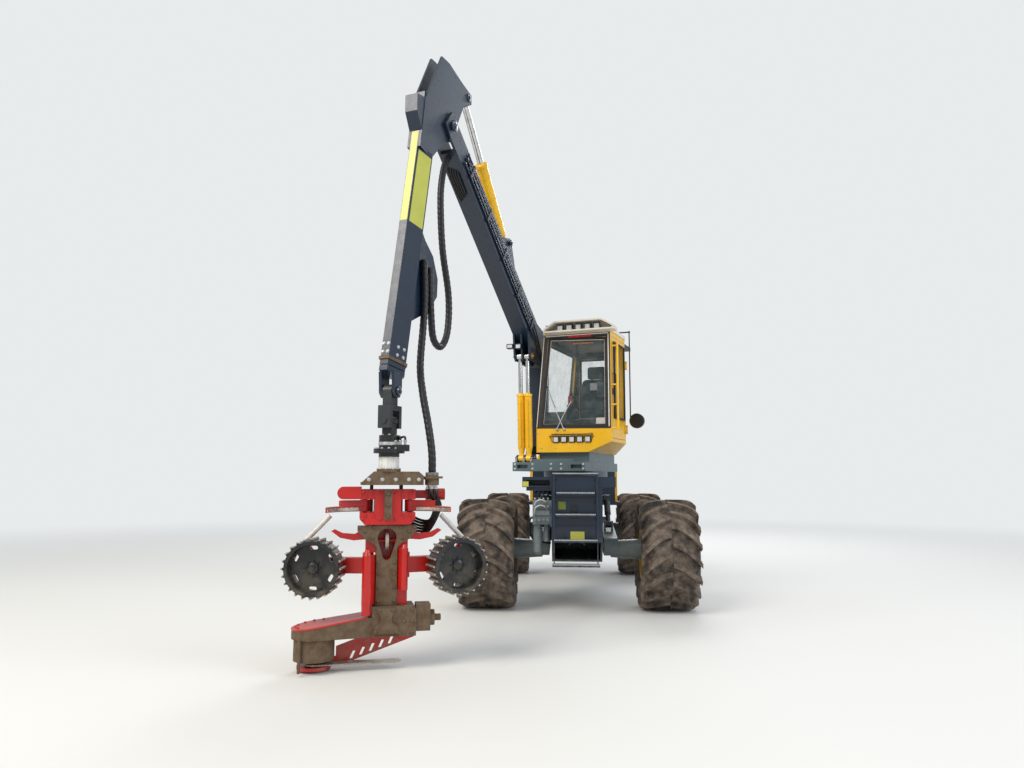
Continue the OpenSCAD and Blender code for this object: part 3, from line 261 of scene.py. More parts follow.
@dataclass(frozen=True)
class BareSteel(Finish):
    """Rolled or cast steel rubbed bare by timber: dull grey-brown with rust bloom, drag marks and pits."""

    rust: str = "#5b3d28"
    rusty: float = 0.5
    grain: Point = (1, 1, 0.12)

    def layers(self, tree: Tree) -> dict[str, object]:
        """Lays rust bloom, drag marks and pits on the steel.

        Args:
            tree: the material's node tree.

        Returns:
            What goes into the shader's inputs.
        """
        bloom = add(tree, "Math", {0: speckle(tree, 70, 0.42, 0.64, detail=8.0), 1: self.rusty}, **PRODUCT)
        drag = speckle(tree, 14, 0.3, 0.72, 0.0, 1.0, 5.0, self.grain)
        metal = add(tree, "Mix", {0: drag, 6: linear(self.colour), 7: self.tone(1.5)}, **COLOURS)
        dull = add(tree, "Math", {0: add(tree, "Math", {0: bloom, 1: 0.45}, **PRODUCT),
                                  1: add(tree, "Math", {0: drag, 1: 0.12}, **LESS)}, **SUM)
        # real pits are about 1 mm across, drawn at 8 mm so that they show
        pits = add(tree, "Math", {0: speckle(tree, 8, 0.3, 0.7, 0, 0.5),
                                  1: add(tree, "Math", {0: drag, 1: 0.5}, **PRODUCT)}, **SUM)
        edge = add(tree, "Bevel", {"Radius": 0.005}, samples=3)
        return {
            "Base Color": add(tree, "Mix", {0: bloom, 6: metal, 7: linear(self.rust)}, **COLOURS),
            "Roughness": add(tree, "MapRange", {"Value": dull, "To Min": self.roughness, "To Max": 0.9}),
            "Normal": add(tree, "Bump", {"Strength": 0.35, "Distance": 0.0015, "Height": pits,
                                         "Normal": edge}),
        }


@dataclass(frozen=True)
class HardChrome(Finish):
    """Hard chrome plate on a ground piston rod: a bright mirror with a thin, patchy oil film."""

    oil: str = "#b9b6ae"

    def layers(self, tree: Tree) -> dict[str, object]:
        """Lays oil smears and the grinding's faint unevenness on the chrome.

        Args:
            tree: the material's node tree.

        Returns:
            What goes into the shader's inputs.
        """
        film = speckle(tree, 120, 0.4, 0.7, 0.0, 1.0, 5.0)
        # real grinding marks are far finer, drawn at 5 mm so that they show
        marks = speckle(tree, 5, 0.3, 0.7)
        return {
            "Base Color": add(tree, "Mix", {0: film, 6: linear(self.colour), 7: linear(self.oil)}, **COLOURS),
            "Roughness": add(tree, "MapRange", {"Value": film, "To Min": self.roughness, "To Max": 0.32}),
            "Normal": add(tree, "Bump", {"Strength": 0.08, "Distance": 0.0006, "Height": marks}),
        }


@dataclass(frozen=True)
class TyreRubber(Finish):
    """Carbon-black tyre rubber driven through soil: matt black under a patchy crust of dry brown mud."""

    mud: str = "#695a4e"
    pale: str = "#8d7f70"
    cover: float = 0.85

    def layers(self, tree: Tree) -> dict[str, object]:
        """Lays the mud crust with its pale, damp and gritty spots on the rubber.

        Args:
            tree: the material's node tree.

        Returns:
            What goes into the shader's inputs.
        """
        crust = add(tree, "Math", {0: speckle(tree, 150, 0.36, 0.56, 0.15, 1.0, 8.0), 1: self.cover},
                    **PRODUCT)
        dry = add(tree, "Mix", {0: speckle(tree, 55, 0.3, 0.7, 0.0, 1.0, 9.0), 6: linear(self.mud),
                                7: linear(self.pale)}, **COLOURS)
        damp = tuple(v * 0.45 for v in linear(self.mud)[:3]) + (1.0,)
        mud = add(tree, "Mix", {0: speckle(tree, 240, 0.5, 0.72), 6: dry, 7: damp}, **COLOURS)
        grit = add(tree, "Math", {0: speckle(tree, 16, 0.3, 0.7, 0.0, 0.6, 8.0),
                                  1: add(tree, "Math", {0: crust, 1: 0.6}, **PRODUCT)}, **SUM)
        return {
            "Base Color": add(tree, "Mix", {0: crust, 6: linear(self.colour), 7: mud}, **COLOURS),
            "Roughness": add(tree, "MapRange", {"Value": crust, "To Min": self.roughness, "To Max": 0.95}),
            "Normal": add(tree, "Bump", {"Strength": 0.55, "Distance": 0.006, "Height": grit}),
        }


@dataclass(frozen=True)
class Moulded(Finish):
    """Moulded rubber or plastic: an even colour, spark-eroded grain and a film of dust."""

    grain_mm: float = 3.0
    dust: str = "#7d7564"
    dusty: float = 0.2
    depth: float = 0.25

    def layers(self, tree: Tree) -> dict[str, object]:
        """Lays grain and dust on the moulding.

        Args:
            tree: the material's node tree.

        Returns:
            What goes into the shader's inputs.
        """
        upward = add(tree, "Math", {0: facing_up(tree, -0.2, 1.0), 1: self.dusty}, **PRODUCT)
        film = add(tree, "Math", {0: upward, 1: speckle(tree, 90, 0.35, 0.65, 0.2, 1.0, 6.0)}, **PRODUCT)
        # real spark-eroded grain is about 0.1 mm across, drawn at grain_mm so that it shows
        grain = speckle(tree, self.grain_mm, 0.3, 0.7)
        return {
            "Base Color": add(tree, "Mix", {0: film, 6: linear(self.colour), 7: linear(self.dust)},
                              **COLOURS),
            "Roughness": speckle(tree, 40, 0.3, 0.7, self.roughness - 0.06, self.roughness + 0.08),
            "Normal": add(tree, "Bump", {"Strength": self.depth, "Distance": 0.001, "Height": grain}),
        }


@dataclass(frozen=True)
class StudioFloor(Finish):
    """Pale painted floor that fades out with distance, so that no dark edge shows behind the machine."""

    near: float = 7.0
    far: float = 24.0

    def surface(self, tree: Tree, shader: Node) -> Node:
        """Fades the floor from near to far, in metres from the slewing axis.

        Args:
            tree: the material's node tree.
            shader: the floor's own shader.

        Returns:
            The mixed shader.
        """
        away = add(tree, "VectorMath", {0: add(tree, "TexCoord").outputs["Object"]}, operation="LENGTH")
        fade = add(tree, "MapRange", {"Value": away.outputs["Value"], "From Min": self.near,
                                      "From Max": self.far}, interpolation_type="SMOOTHSTEP")
        return add(tree, "MixShader", {0: fade, 1: shader, 2: add(tree, "BsdfTransparent")})


@dataclass(frozen=True)
class WovenCloth(Finish):
    """Woven polyester seat cloth: matt, with warp and weft threads that catch the light in turn, drawn as a
    painted highlight.
    """

    # a real thread is about 0.5 mm wide, drawn 5 mm apart so that it shows
    thread_mm: float = 5.0

    def layers(self, tree: Tree) -> dict[str, object]:
        """Weaves two crossing bands of waves and paints a highlight on the raised threads.

        Args:
            tree: the material's node tree.

        Returns:
            What goes into the shader's inputs.
        """
        place = add(tree, "TexCoord").outputs["Object"]
        waves = {"Vector": place, "Scale": 1 / (self.thread_mm * MM) / 3.2, "Distortion": 0.4}
        warp = add(tree, "TexWave", waves, bands_direction="X")
        weft = add(tree, "TexWave", waves, bands_direction="Z")
        weave = add(tree, "Math", {0: warp.outputs["Fac"], 1: weft.outputs["Fac"]}, **LARGER)
        # painted highlight: the raised threads are lightened in the colour, with a random tone over it
        shade = add(tree, "Math", {0: add(tree, "Math", {0: weave, 1: 0.5}, **PRODUCT),
                                   1: speckle(tree, 60, 0.35, 0.7, 0.0, 0.5)}, **SUM)
        return {
            "Base Color": add(tree, "Mix", {0: shade, 6: linear(self.colour), 7: self.tone(2.6, 0.004)},
                              **COLOURS),
            "Sheen Weight": 0.3,
            "Normal": add(tree, "Bump", {"Strength": 0.4, "Distance": 0.001, "Height": weave}),
        }


@dataclass(frozen=True)
class Glazing(Finish):
    """Polycarbonate or toughened glass pane: clear, faintly grey-green, with a thin film of dust."""

    clear: float = 0.93
    dust: str = "#c9c8bd"

    def layers(self, tree: Tree) -> dict[str, object]:
        """Makes the pane clear apart from its dust.

        Args:
            tree: the material's node tree.

        Returns:
            What goes into the shader's inputs.
        """
        film = speckle(tree, 130, 0.45, 0.8, 1 - self.clear, 1.12 - self.clear, 6.0)
        return {
            "Alpha": film,
            "Base Color": add(tree, "Mix", {0: film, 6: linear(self.colour), 7: linear(self.dust)},
                              **COLOURS),
            "Roughness": speckle(tree, 70, 0.3, 0.7, self.roughness, self.roughness + 0.08),
        }

    def build(self) -> bpy.types.Material:
        """Makes the pane and lets it blend with what lies behind it.

        Returns:
            The material.
        """
        made = super().build()
        made.surface_render_method = "BLENDED"
        return made


@dataclass(frozen=True)
class LampLens(Finish):
    """Clear moulded lamp lens over a bright reflector: white, with small square optics."""

    cell_mm: float = 14.0
    shade: str = "#b9bcbb"

    def layers(self, tree: Tree) -> dict[str, object]:
        """Draws the square optics.

        Args:
            tree: the material's node tree.

        Returns:
            What goes into the shader's inputs.
        """
        place = add(tree, "TexCoord").outputs["Object"]
        cell = add(tree, "TexVoronoi", {"Vector": place, "Scale": 1 / (self.cell_mm * MM),
                                        "Randomness": 0.05}, distance="CHEBYCHEV")
        tone = add(tree, "MapRange", {"Value": cell, "From Min": 0.1, "From Max": 0.5})
        return {
            "Base Color": add(tree, "Mix", {0: tone, 6: linear(self.colour), 7: linear(self.shade)},
                              **COLOURS),
            "Coat Weight": 0.6,
            "Roughness": speckle(tree, 30, 0.3, 0.7, self.roughness, self.roughness + 0.1),
            "Normal": add(tree, "Bump", {"Strength": 0.5, "Distance": 0.002, "Height": cell}),
        }


class Paint(Enum):
    """The finishes of the machine."""

    # Enamels: an even, glossy film over plate steel, matter where dust and mud lie
    NAVY = MachinePaint("blue_black_enamel", "dark_paint", "#14263a", 0.32, worn="#5a5d5e",
                        scuffs=0.25, dusty=0.14)
    LINK = MachinePaint("dark_casting_enamel", "grey_paint", "#2c3133", 0.45, worn="#6a6055",
                        scuffs=0.6, dusty=0.15)
    SLATE = MachinePaint("grey_green_enamel", "grey_paint", "#54666a", 0.42, worn="#3b3a38")
    YELLOW = MachinePaint("cab_yellow_enamel", "yellow_paint", "#f7bd02", 0.3, scuffs=0.12, dusty=0.1)
    WHITE = MachinePaint("visor_off_white_enamel", "white_paint", "#e6ddcd", 0.45, scuffs=0.3)
    RED = MachinePaint("head_red_enamel", "red_paint", "#c2160f", 0.33, worn="#4f3526", scuffs=0.7,
                       mud_top=0.5, mud=0.35)
    BLACK = MachinePaint("satin_black_enamel", "black_steel", "#101214", 0.4, worn="#4b4640",
                         scuffs=0.5, dusty=0.15)
    TRIM = MachinePaint("brown_black_window_trim", "cab_plastic", "#2c2321", 0.5, worn="#6d5a4c", scuffs=0.4)
    # Painted shade in part: the struts are drawn dark blue-black as they look in the deep shade beside the
    # ladder, over a yellow_paint slot
    STRUT = MachinePaint("strut_blue_black_with_painted_shade", "yellow_paint", "#222d36", 0.4,
                         worn="#4d4f50", scuffs=0.3)
    # Films and card: flat, blank and slightly matt; the card also serves as a painted highlight on the front
    # pane's edges
    SIGNAL = MachinePaint("reflective_yellow_film", "yellow_paint", "#c3c34e", 0.38, scuffs=0.3, dusty=0.1)
    OLIVE = MachinePaint("olive_film", "yellow_paint", "#6f7a22", 0.45, scuffs=0.3)
    # painted highlight: this pale card finish also lies along the front pane's edges as the glint of the
    # glass
    PAPER = Moulded("white_card", "white_paint", "#e9e4da", 0.7)
    # Bare and plated metal: a broad dull shine, brown where rust blooms
    WORN = BareSteel("timber_worn_steel", "worn_steel", "#6a5a48", 0.55, 0.55)
    BRIGHT = BareSteel("ground_knife_steel", "worn_steel", "#a9a49a", 0.34, 0.9, rusty=0.2)
    ZINC = BareSteel("pale_zinc_tube", "worn_steel", "#c9c8c2", 0.5, 0.35, rusty=0.15)
    GALVANISED = BareSteel("zinc_plated_fitting", "worn_steel", "#b4b6b4", 0.36, 0.85, rusty=0.12)
    BRASS = BareSteel("yellow_chromate_steel", "worn_steel", "#b58a3c", 0.38, 0.85, rusty=0.2)
    CHROME = HardChrome("hard_chrome_rod", "rod_chrome", "#dcdcdc", 0.12, 1.0)
    IRON = BareSteel("cast_iron_block", "engine_iron", "#26272a", 0.7, 0.3)
    ALLOY = BareSteel("cast_valve_alloy", "engine_iron", "#747d80", 0.5, 0.6, rusty=0.2)
    # Rubber and plastic: dark and soft, with hardly a highlight
    TYRE = TyreRubber("muddy_tyre_rubber", "tyre", "#191716", 0.7)
    HOSE = Moulded("hose_cover_rubber", "hose_rubber", "#0e0f10", 0.45, grain_mm=6.0, dusty=0.12)
    SEAL = Moulded("window_seal_rubber", "cab_plastic", "#141414", 0.6, dusty=0.25)
    ABS = Moulded("console_abs_grained", "cab_plastic", "#25272a", 0.5, grain_mm=4.0, dusty=0.1)
    RED_PLASTIC = Moulded("red_gloss_plastic", "red_paint", "#c8202a", 0.3)
    SCREEN = Moulded("dark_screen_glass", "cab_plastic", "#10161c", 0.12, dusty=0.0, depth=0.02)
    # Glass, lenses and lamp covers: clear or coloured, with a sharp highlight
    GLASS = Glazing("cab_window_pane", "window_glass", "#8fa3a6", 0.05)
    LENS = LampLens("lamp_lens_clear", "lamp_lens", "#f3f4f1", 0.12)
    AMBER = Moulded("amber_lamp_cover", "lamp_lens", "#e08a24", 0.3, dusty=0.0)
    TAIL = Moulded("red_lamp_lens", "red_paint", "#a31212", 0.2, dusty=0.1)
    # Woven seat cloth: no shine, a soft sheen at its edges
    CLOTH = WovenCloth("seat_polyester_weave", "seat_cloth", "#101114", 0.85)
    GREY_CLOTH = WovenCloth("grey_seat_patch_weave", "seat_cloth", "#b4b7bb", 0.85)

    @property
    def material(self) -> bpy.types.Material:
        """The material of this finish, made at its first use."""
        return bpy.data.materials.get(self.value.name) or self.value.build()


# Shapes


@dataclass(frozen=True)
class Place:
    """Axes turned about the vertical and moved: x across, y back and z up."""

    origin: Point = (0.0, 0.0, 0.0)
    turn: float = 0.0

    def points(self, local: np.ndarray) -> np.ndarray:
        """Turns local points into the frame's axes: p = origin + R(turn) q.

        Args:
            local: points of shape (..., 3).

        Returns:
            The placed points.
        """
        q = np.asarray(local, float)
        c, s = math.cos(math.radians(self.turn)), math.sin(math.radians(self.turn))
        return np.stack([c * q[..., 0] - s * q[..., 1], s * q[..., 0] + c * q[..., 1], q[..., 2]],
                        -1) + np.array(self.origin)

    def inner(self, x: float, y: float, turn: float) -> "Place":
        """A second set of axes inside this one."""
        return Place(tuple(self.points(np.array([x, y, 0.0]))), self.turn + turn)


MACHINE = Place()
UPPER = Place(turn=-18.0)
CRANE = UPPER.inner(-0.515, 0.0, 0.0)
HEAD = UPPER.inner(-0.515, -4.15, 34.0)

# Directions that many screws and plates face

LEFT, BACK, UP = (1, 0, 0), (0, 1, 0), (0, 0, 1)
AHEAD = (0, -1, 0)

# A direction that no path here sets out in

ASKEW = (0.13, 0.31, 0.94)


def unit(v: np.ndarray) -> np.ndarray:
    """Vectors of length one: v / |v| along the last axis."""
    v = np.asarray(v, float)
    return v / np.maximum(np.linalg.norm(v, axis=-1, keepdims=True), 1e-12)


def smooth_path(knots: np.ndarray, steps: int) -> np.ndarray:
    """A Catmull-Rom curve through the knots.

    On each span p(t) = (2b + (c-a)t + (2a-5b+4c-d)t^2 + (3b-a-3c+d)t^3) / 2.

    Args:
        knots: points of shape (n, 2) or (n, 3).
        steps: points made on each span.

    Returns:
        The points of the curve, ends included.
    """
    k = np.asarray(knots, float)
    a, b, c, d = (np.vstack([k[:1], k[:-2]]), k[:-1], k[1:], np.vstack([k[2:], k[-1:]]))
    t = np.linspace(0, 1, steps, endpoint=False)[None, :, None]
    a, b, c, d = (v[:, None, :] for v in (a, b, c, d))
    p = (2 * b + (c - a) * t + (2 * a - 5 * b + 4 * c - d) * t ** 2 + (3 * b - a - 3 * c + d) * t ** 3) / 2
    return np.vstack([p.reshape(-1, k.shape[1]), k[-1:]])


def oblong(x0: float, y0: float, x1: float, y1: float) -> list[Pair]:
    """The four corners of a rectangle, counterclockwise from its low corner."""
    return [(x0, y0), (x1, y0), (x1, y1), (x0, y1)]


def circle(count: int, start: float = 0.0) -> np.ndarray:
    """Angles that share a full turn evenly from start, in radians."""
    return np.linspace(start, start + 2 * math.pi, count, endpoint=False)


def signed_power(w: np.ndarray, e: float) -> np.ndarray:
    """The power of a number's size with the number's own sign: sign(w) |w|^e."""
    return np.sign(w) * np.abs(w) ** e


def even_run(path: np.ndarray, s: np.ndarray | int) -> np.ndarray:
    """Points along a path at given lengths or at even steps: p(s) lies between its neighbours on the path.

    Args:
        path: points of shape (m, k).
        s: lengths from the start, or how many points to make without the last.

    Returns:
        The points, of shape (n, k).
    """
    run = np.concatenate([[0], np.cumsum(np.linalg.norm(np.diff(path, axis=0), axis=1))])
    at = np.linspace(0, 1, s, endpoint=False) * run[-1] if isinstance(s, int) else s
    return np.stack([np.interp(at, run, row) for row in path.T], -1)


@dataclass
class Shape:
    """Collects surfaces that become one piece."""

    place: Place = MACHINE
    verts: list[np.ndarray] = field(default_factory=list)
    faces: list[list[int]] = field(default_factory=list)
    count: int = 0

    def put(self, verts: np.ndarray, faces: list[list[int]]) -> "Shape":
        """Adds points and faces.

        Args:
            verts: points in this shape's own axes.
            faces: the faces' corners, which number these points from zero.

        Returns:
            This shape.
        """
        self.verts.append(self.place.points(np.asarray(verts, float).reshape(-1, 3)))
        self.faces += [[i + self.count for i in f] for f in faces]
        self.count += len(self.verts[-1])
        return self

    def grid(self, g: np.ndarray, round_u: bool = False, ends: bool = True) -> "Shape":
        """Adds a surface given as points on a grid of two parameters. Its last column joins the first.

        Args:
            g: points of shape (m, n, 3), rows along u and columns along v.
            round_u: whether the last row joins the first.
            ends: whether the first and last rows are closed with a face.

        Returns:
            This shape.
        """
        m, n = g.shape[:2]
        u = np.arange(m if round_u else m - 1)[:, None]
        v = np.arange(n)[None, :]
        u2, v2 = (u + 1) % m, (v + 1) % n
        quads = np.stack([u * n + v, u * n + v2, u2 * n + v2, u2 * n + v], -1).reshape(-1, 4).tolist()
        if ends and not round_u:
            quads += [list(range(n - 1, -1, -1)), list(range((m - 1) * n, m * n))]
        return self.put(g, quads)

    def turned(self, profile: list[Pair], at: Point, axis: Point, sides: int = 32,
               closed: bool = False) -> "Shape":
        """Adds a turned part: p(u, v) = at + h(u) axis + r(u) (e1 cos v + e2 sin v).

        Args:
            profile: pairs of radius and height along the axis.
            at: a point on the axis.
            axis: its direction.
            sides: points round the axis.
            closed: whether the profile is a closed ring.

        Returns:
            This shape.
        """
        r, h = np.array(profile, float).T
        w = unit(axis)
        e1 = unit(np.cross(w, [0.31, 0.9, 0.29] if abs(w[1]) < 0.9 else [1.0, 0.0, 0.0]))
        e2 = np.cross(w, e1)
        v = circle(sides)
        around = np.cos(v)[:, None] * e1 + np.sin(v)[:, None] * e2
        g = np.array(at) + h[:, None, None] * w + r[:, None, None] * around[None]
        return self.grid(g, round_u=closed, ends=not closed)

    def rod(self, a: Point, b: Point, r: float, sides: int = 24) -> "Shape":
        """Adds a round bar whose ends are chamfered by 12 % of its radius.

        Args:
            a, b: the middles of its ends.
            r: its radius.
            sides: points round it.

        Returns:
            This shape.
        """
        length = float(np.linalg.norm(np.subtract(b, a)))
        c = min(0.12 * r, 0.4 * length)
        return self.turned([(r - c, 0), (r, c), (r, length - c), (r - c, length)], a,
                           np.subtract(b, a), sides)

    def tube(self, path: np.ndarray, radius: float | np.ndarray, sides: int = 12) -> "Shape":
        """Adds a tube: p(u, v) = c(u) + r(u) (n(u) cos v + b(u) sin v), with n and b square to the path c.

        The normals are carried along the path, each one the last made square to the new direction.

        Args:
            path: points of shape (m, 3).
            radius: one radius, one for each point, or an array of shape (m, sides).
            sides: points round the tube.

        Returns:
            This shape.
        """
        c = np.asarray(path, float)
        t = unit(np.gradient(c, axis=0))
        n = np.zeros_like(c)
        last = unit(np.cross(t[0], ASKEW))
        for i, d in enumerate(t):
            last = unit(last - d * float(last @ d))
            n[i] = last
        b = np.cross(t, n)
        v = circle(sides)
        r = np.asarray(radius, float)
        r = r[:, :, None] if r.ndim == 2 else np.broadcast_to(r, (len(c),))[:, None, None]
        around = np.cos(v)[:, None] * n[:, None, :] + np.sin(v)[:, None] * b[:, None, :]
        return self.grid(c[:, None, :] + r * around)

    def bent(self, knots: list[Point], radius: float, steps: int = 8, sides: int = 10) -> "Shape":
        """Adds a bent bar, pipe or hose on a smooth path.

        Args:
            knots: points that the path goes through.
            radius: its radius.
            steps: points made between two knots.
            sides: points round it.

        Returns:
            This shape.
        """
        return self.tube(smooth_path(knots, steps), radius, sides)

    def prism(self, outline: list[Pair], at: Point, e1: Point, e2: Point, depth: float) -> "Shape":
        """Adds a plate: a flat outline drawn out square to its plane.

        Args:
            outline: its corners in e1 and e2.
            at: where the outline starts from.
            e1, e2: the outline's axes.
            depth: how far it is drawn out along e1 x e2.

        Returns:
            This shape.
        """
        q = np.array(outline, float)
        a, b = unit(e1), unit(e2)
        base = np.array(at) + q[:, :1] * a + q[:, 1:] * b
        return self.grid(np.stack([base, base + depth * np.cross(a, b)]))

    def ring(self, outline: list[Pair], at: Point, e1: Point,
             e2: Point, width: float, depth: float, flip: bool = False) -> "Shape":
        """Adds a flat frame: the band between an outline and the outline moved in by width, drawn out.

        Args:
            outline: its corners in e1 and e2, counterclockwise.
            at: where the outline starts from.
            e1, e2: the outline's axes.
            width: how wide the band is.
            depth: how far it is drawn out along e1 x e2.
            flip: whether the faces are turned, as a negative depth needs.

        Returns:
            This shape.
        """
        q = np.array(outline, float)
        edge = unit(np.roll(q, -1, 0) - q)
        inward = np.stack([-edge[:, 1], edge[:, 0]], -1)
        before = np.roll(inward, 1, 0)
        inner = q + width * (inward + before) / (1 + np.sum(inward * before, 1))[:, None]
        a, b = unit(e1), unit(e2)
        n = np.cross(a, b)
        g = np.stack([np.array(at) + w[:, :1] * a + w[:, 1:] * b + n * d
                      for w, d in ((q, 0), (q, depth), (inner, depth), (inner, 0))])
        return self.grid(g[::-1] if flip else g, round_u=True, ends=False)

    def block(self, lo: Point, hi: Point) -> "Shape":
        """Adds a box between two corners. The piece's bevel rounds it."""
        (x0, y0, z0), (x1, y1, z1) = lo, hi
        return self.prism(oblong(x0, y0, x1, y1), (0, 0, z0), LEFT, BACK, z1 - z0)

    def bolts(self, at: np.ndarray, axis: Point, across: float = 0.024, height: float = 0.012) -> "Shape":
        """Adds hexagon bolt heads on washers, all along one axis.

        Args:
            at: one point or many.
            axis: the way that the heads point.
            across: their width across flats.
            height: their height over the washed face.

        Returns:
            This shape.
        """
        washer, corner, crown = across * 0.75, across * 0.5774, across * 0.48
        for p in np.asarray(at, float).reshape(-1, 3):
            self.turned([(washer, -0.002), (washer, 0.003)], p, axis, 16)
            self.turned([(corner, 0.003), (corner, height * 0.85), (crown, height)], p, axis, 6)
        return self

    def piece(self, name: str, body: str, paint: Paint, smooth: float = 32.0, bevel: float = 0.0,
              instead: tuple[str, ...] = ()) -> bpy.types.Object:
        """Makes the Blender object, gives it its finish and lets it ride on its body.

        Args:
            name: the piece's name.
            body: the body of the frame that carries it.
            paint: its finish.
            smooth: edges sharper than this angle stay sharp, in degrees.
            bevel: radius of the rounded edges.
            instead: the CAD nodes that it stands for.

        Returns:
            The object.
        """
        mesh = bpy.data.meshes.new(name)
        mesh.from_pydata(np.vstack(self.verts).tolist(), [], self.faces)
        mesh.shade_smooth()
        mesh.set_sharp_from_angle(angle=math.radians(smooth))
        mesh.materials.append(paint.material)
        obj = bpy.data.objects.new(name, mesh)
        bpy.context.scene.collection.objects.link(obj)
        if bevel:
            cut = obj.modifiers.new("rounded_edges", "BEVEL")
            cut.width, cut.segments, cut.limit_method, cut.angle_limit = bevel, 2, "ANGLE", math.radians(35)
            cut.harden_normals = True
        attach(obj, body)
        if instead:
            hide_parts(*instead)
        LOG.info("%s: %d faces on %s", name, len(self.faces), body)
        return obj


def dress(paint: Paint, *nodes: str) -> None:
    """Gives CAD nodes a finish in place of their plain colour.

    Args:
        paint: the finish.
        nodes: the nodes' names.
    """
    for node in nodes:
        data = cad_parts[node].data
        data.materials.clear()
        data.materials.append(paint.material)
        LOG.info("%s: dressed as %s", node, paint.value.name)


# Sub-assemblies


@dataclass
class Wheels:
    """Where the four wheels stand."""

    diameter: float = 1.42
    half_track: float = 1.175
    axles: tuple[tuple[str, float], ...] = (("front", -0.367), ("rear", 3.333))

    def each(self) -> list[tuple[str, str, int, Point]]:
        """The wheels' axle, side, hand and middle, where hand is 1 on the left and -1 on the right."""
        return [(axle, side, hand, (hand * self.half_track, y, self.diameter / 2))
                for axle, y in self.axles for side, hand in (("left", 1), ("right", -1))]


@dataclass
class Tyres(Wheels):
    """Four wide forestry tyres with deep curved lugs, worked out about the axle."""

    width: float = 0.75
    bead: float = 0.69
    lug_height: float = 0.055
    lugs: int = 18
    sides: int = 120
    rear_lead: float = 0.37
    left_lead: float = 0.11

    def carcass(self) -> np.ndarray:
        """The carcass: p(u, v) = (a(u), r(u) cos v, r(u) sin v), with a and r a closed section of the tyre.

        Returns:
            Points of shape (m, n, 3): across, then the wheel's plane.
        """
        w, r, b = self.width / 2, self.diameter / 2 - self.lug_height, self.bead / 2
        half = [(0.0, r), (0.35, r - 0.002), (0.62, r - 0.01), (0.78, r - 0.028), (0.9, r - 0.06),
                (0.965, r - 0.11), (0.985, r - 0.17), (0.97, r - 0.23), (0.93, b + 0.05), (0.88, b + 0.025),
                (0.81, b + 0.02), (0.8, b + 0.004)]
        outer = [(s * w, q) for s, q in half]
        inner = [(0.62 * w, b + 0.03), (0.0, b + 0.03)]
        right = outer + inner
        ring = np.array(right + [(-a, q) for a, q in right[-2:0:-1]])
        v = circle(self.sides)
        across = np.repeat(ring[:, :1], self.sides, 1)
        return np.stack([across, ring[:, 1:] * np.cos(v), ring[:, 1:] * np.sin(v)], -1)

    def lug(self, side: int, turn: float) -> np.ndarray:
        """One lug: a five-sided section carried along a curve from the middle over the shoulder.

        Along the lug s runs from 0 to 1: across a(s) = side w (0.02 + 0.965 s) and its angle
        t(s) = turn + 0.1 s + 0.27 s^2. Its top follows r(s) = R - 0.001 - 0.045 max(0, (s - 0.72) / 0.28)^2.

        Args:
            side: 1 or -1, the half of the tread.
            turn: angle of its inner end about the axle.

        Returns:
            Points of shape (11, 6, 3) across and in the wheel's plane.
        """
        w, r = self.width / 2, self.diameter / 2
        s = np.linspace(0, 1, 11)[:, None]
        top = r - 0.001 - 0.045 * np.clip((s - 0.72) / 0.28, 0, 1) ** 2
        foot = r - self.lug_height - 0.012 - 0.1 * np.clip((s - 0.74) / 0.26, 0, 1) ** 1.6
        half = 0.027 + 0.006 * s
        along = np.array([[-1.5, -1.05, -0.95, 0.95, 1.05, 1.5]])
        rise = np.array([[0.0, 0.62, 1.0, 1.0, 0.62, 0.0]])
        radius = foot + (top - foot) * rise
        bar = turn + 0.1 * s + 0.27 * s ** 2 + along * half / r
        a = side * w * (0.02 + 0.965 * s) * np.ones_like(rise)
        return np.stack([a, radius * np.cos(bar), radius * np.sin(bar)], -1)

    def build(self) -> None:
        """Makes the four tyres: the lugs' middles lead when the machine rolls forward."""
        carcass = self.carcass()
        step = 2 * math.pi / self.lugs
        for axle, side, _, middle in self.each():
            tyre = Shape(Place(middle))
            turns = np.arange(self.lugs) * step + self.rear_lead * (axle == "rear")
            turns += self.left_lead * (side == "left")
            tyre.grid(carcass, round_u=True, ends=False)
            for half in (1, -1):
                for t in turns + (half < 0) * step / 2:
                    g = self.lug(half, t)
                    tyre.grid(g if half < 0 else g[:, ::-1])
            tyre.piece(f"tread_{axle}_{side}", f"wheel_{axle}_{side}", Paint.TYRE, smooth=38,
                       instead=(f"tyre_{axle}_{side}",))


@dataclass
class Rims(Wheels):
    """Wheel nuts, hub covers, valves and rolled flanges on the four rims."""

    nuts: int = 12
    nut_circle: float = 0.16
    cover_screws: int = 8
    cover_circle: float = 0.07

    def build(self) -> None:
        """Makes each wheel's ring of nuts, domed hub cover with screws, rolled flange and valve."""
        v, w = circle(self.nuts), circle(self.cover_screws)
        for axle, side, hand, (x, y, z) in self.each():
            out = (hand, 0, 0)
            steel = Shape()
            steel.bolts(np.stack([np.full(self.nuts, x + hand * 0.092), y + self.nut_circle * np.cos(v),
                                  z + self.nut_circle * np.sin(v)], -1), out, 0.03, 0.026)
            steel.bolts(np.stack([np.full(self.cover_screws, x + hand * 0.118),
                                  y + self.cover_circle * np.cos(w), z + self.cover_circle * np.sin(w)], -1),
                        out, 0.014, 0.009)
            steel.rod((x + hand * 0.1, y + 0.26, z + 0.08), (x + hand * 0.16, y + 0.27, z + 0.085), 0.007)
            steel.piece(f"wheel_nuts_{axle}_{side}", f"wheel_{axle}_{side}", Paint.GALVANISED)
            cover = Shape()
            cover.turned([(0.098, 0.108), (0.1, 0.112), (0.092, 0.119), (0.05, 0.124), (0.02, 0.126)],
                         (x, y, z), out, 48)
            cover.turned([(0.33, 0.322), (0.345, 0.327), (0.362, 0.322), (0.368, 0.31), (0.362, 0.303),
                          (0.34, 0.302)], (x, y, z), out, 72, closed=True)
            cover.piece(f"hub_cover_{axle}_{side}", f"wheel_{axle}_{side}", Paint.YELLOW)


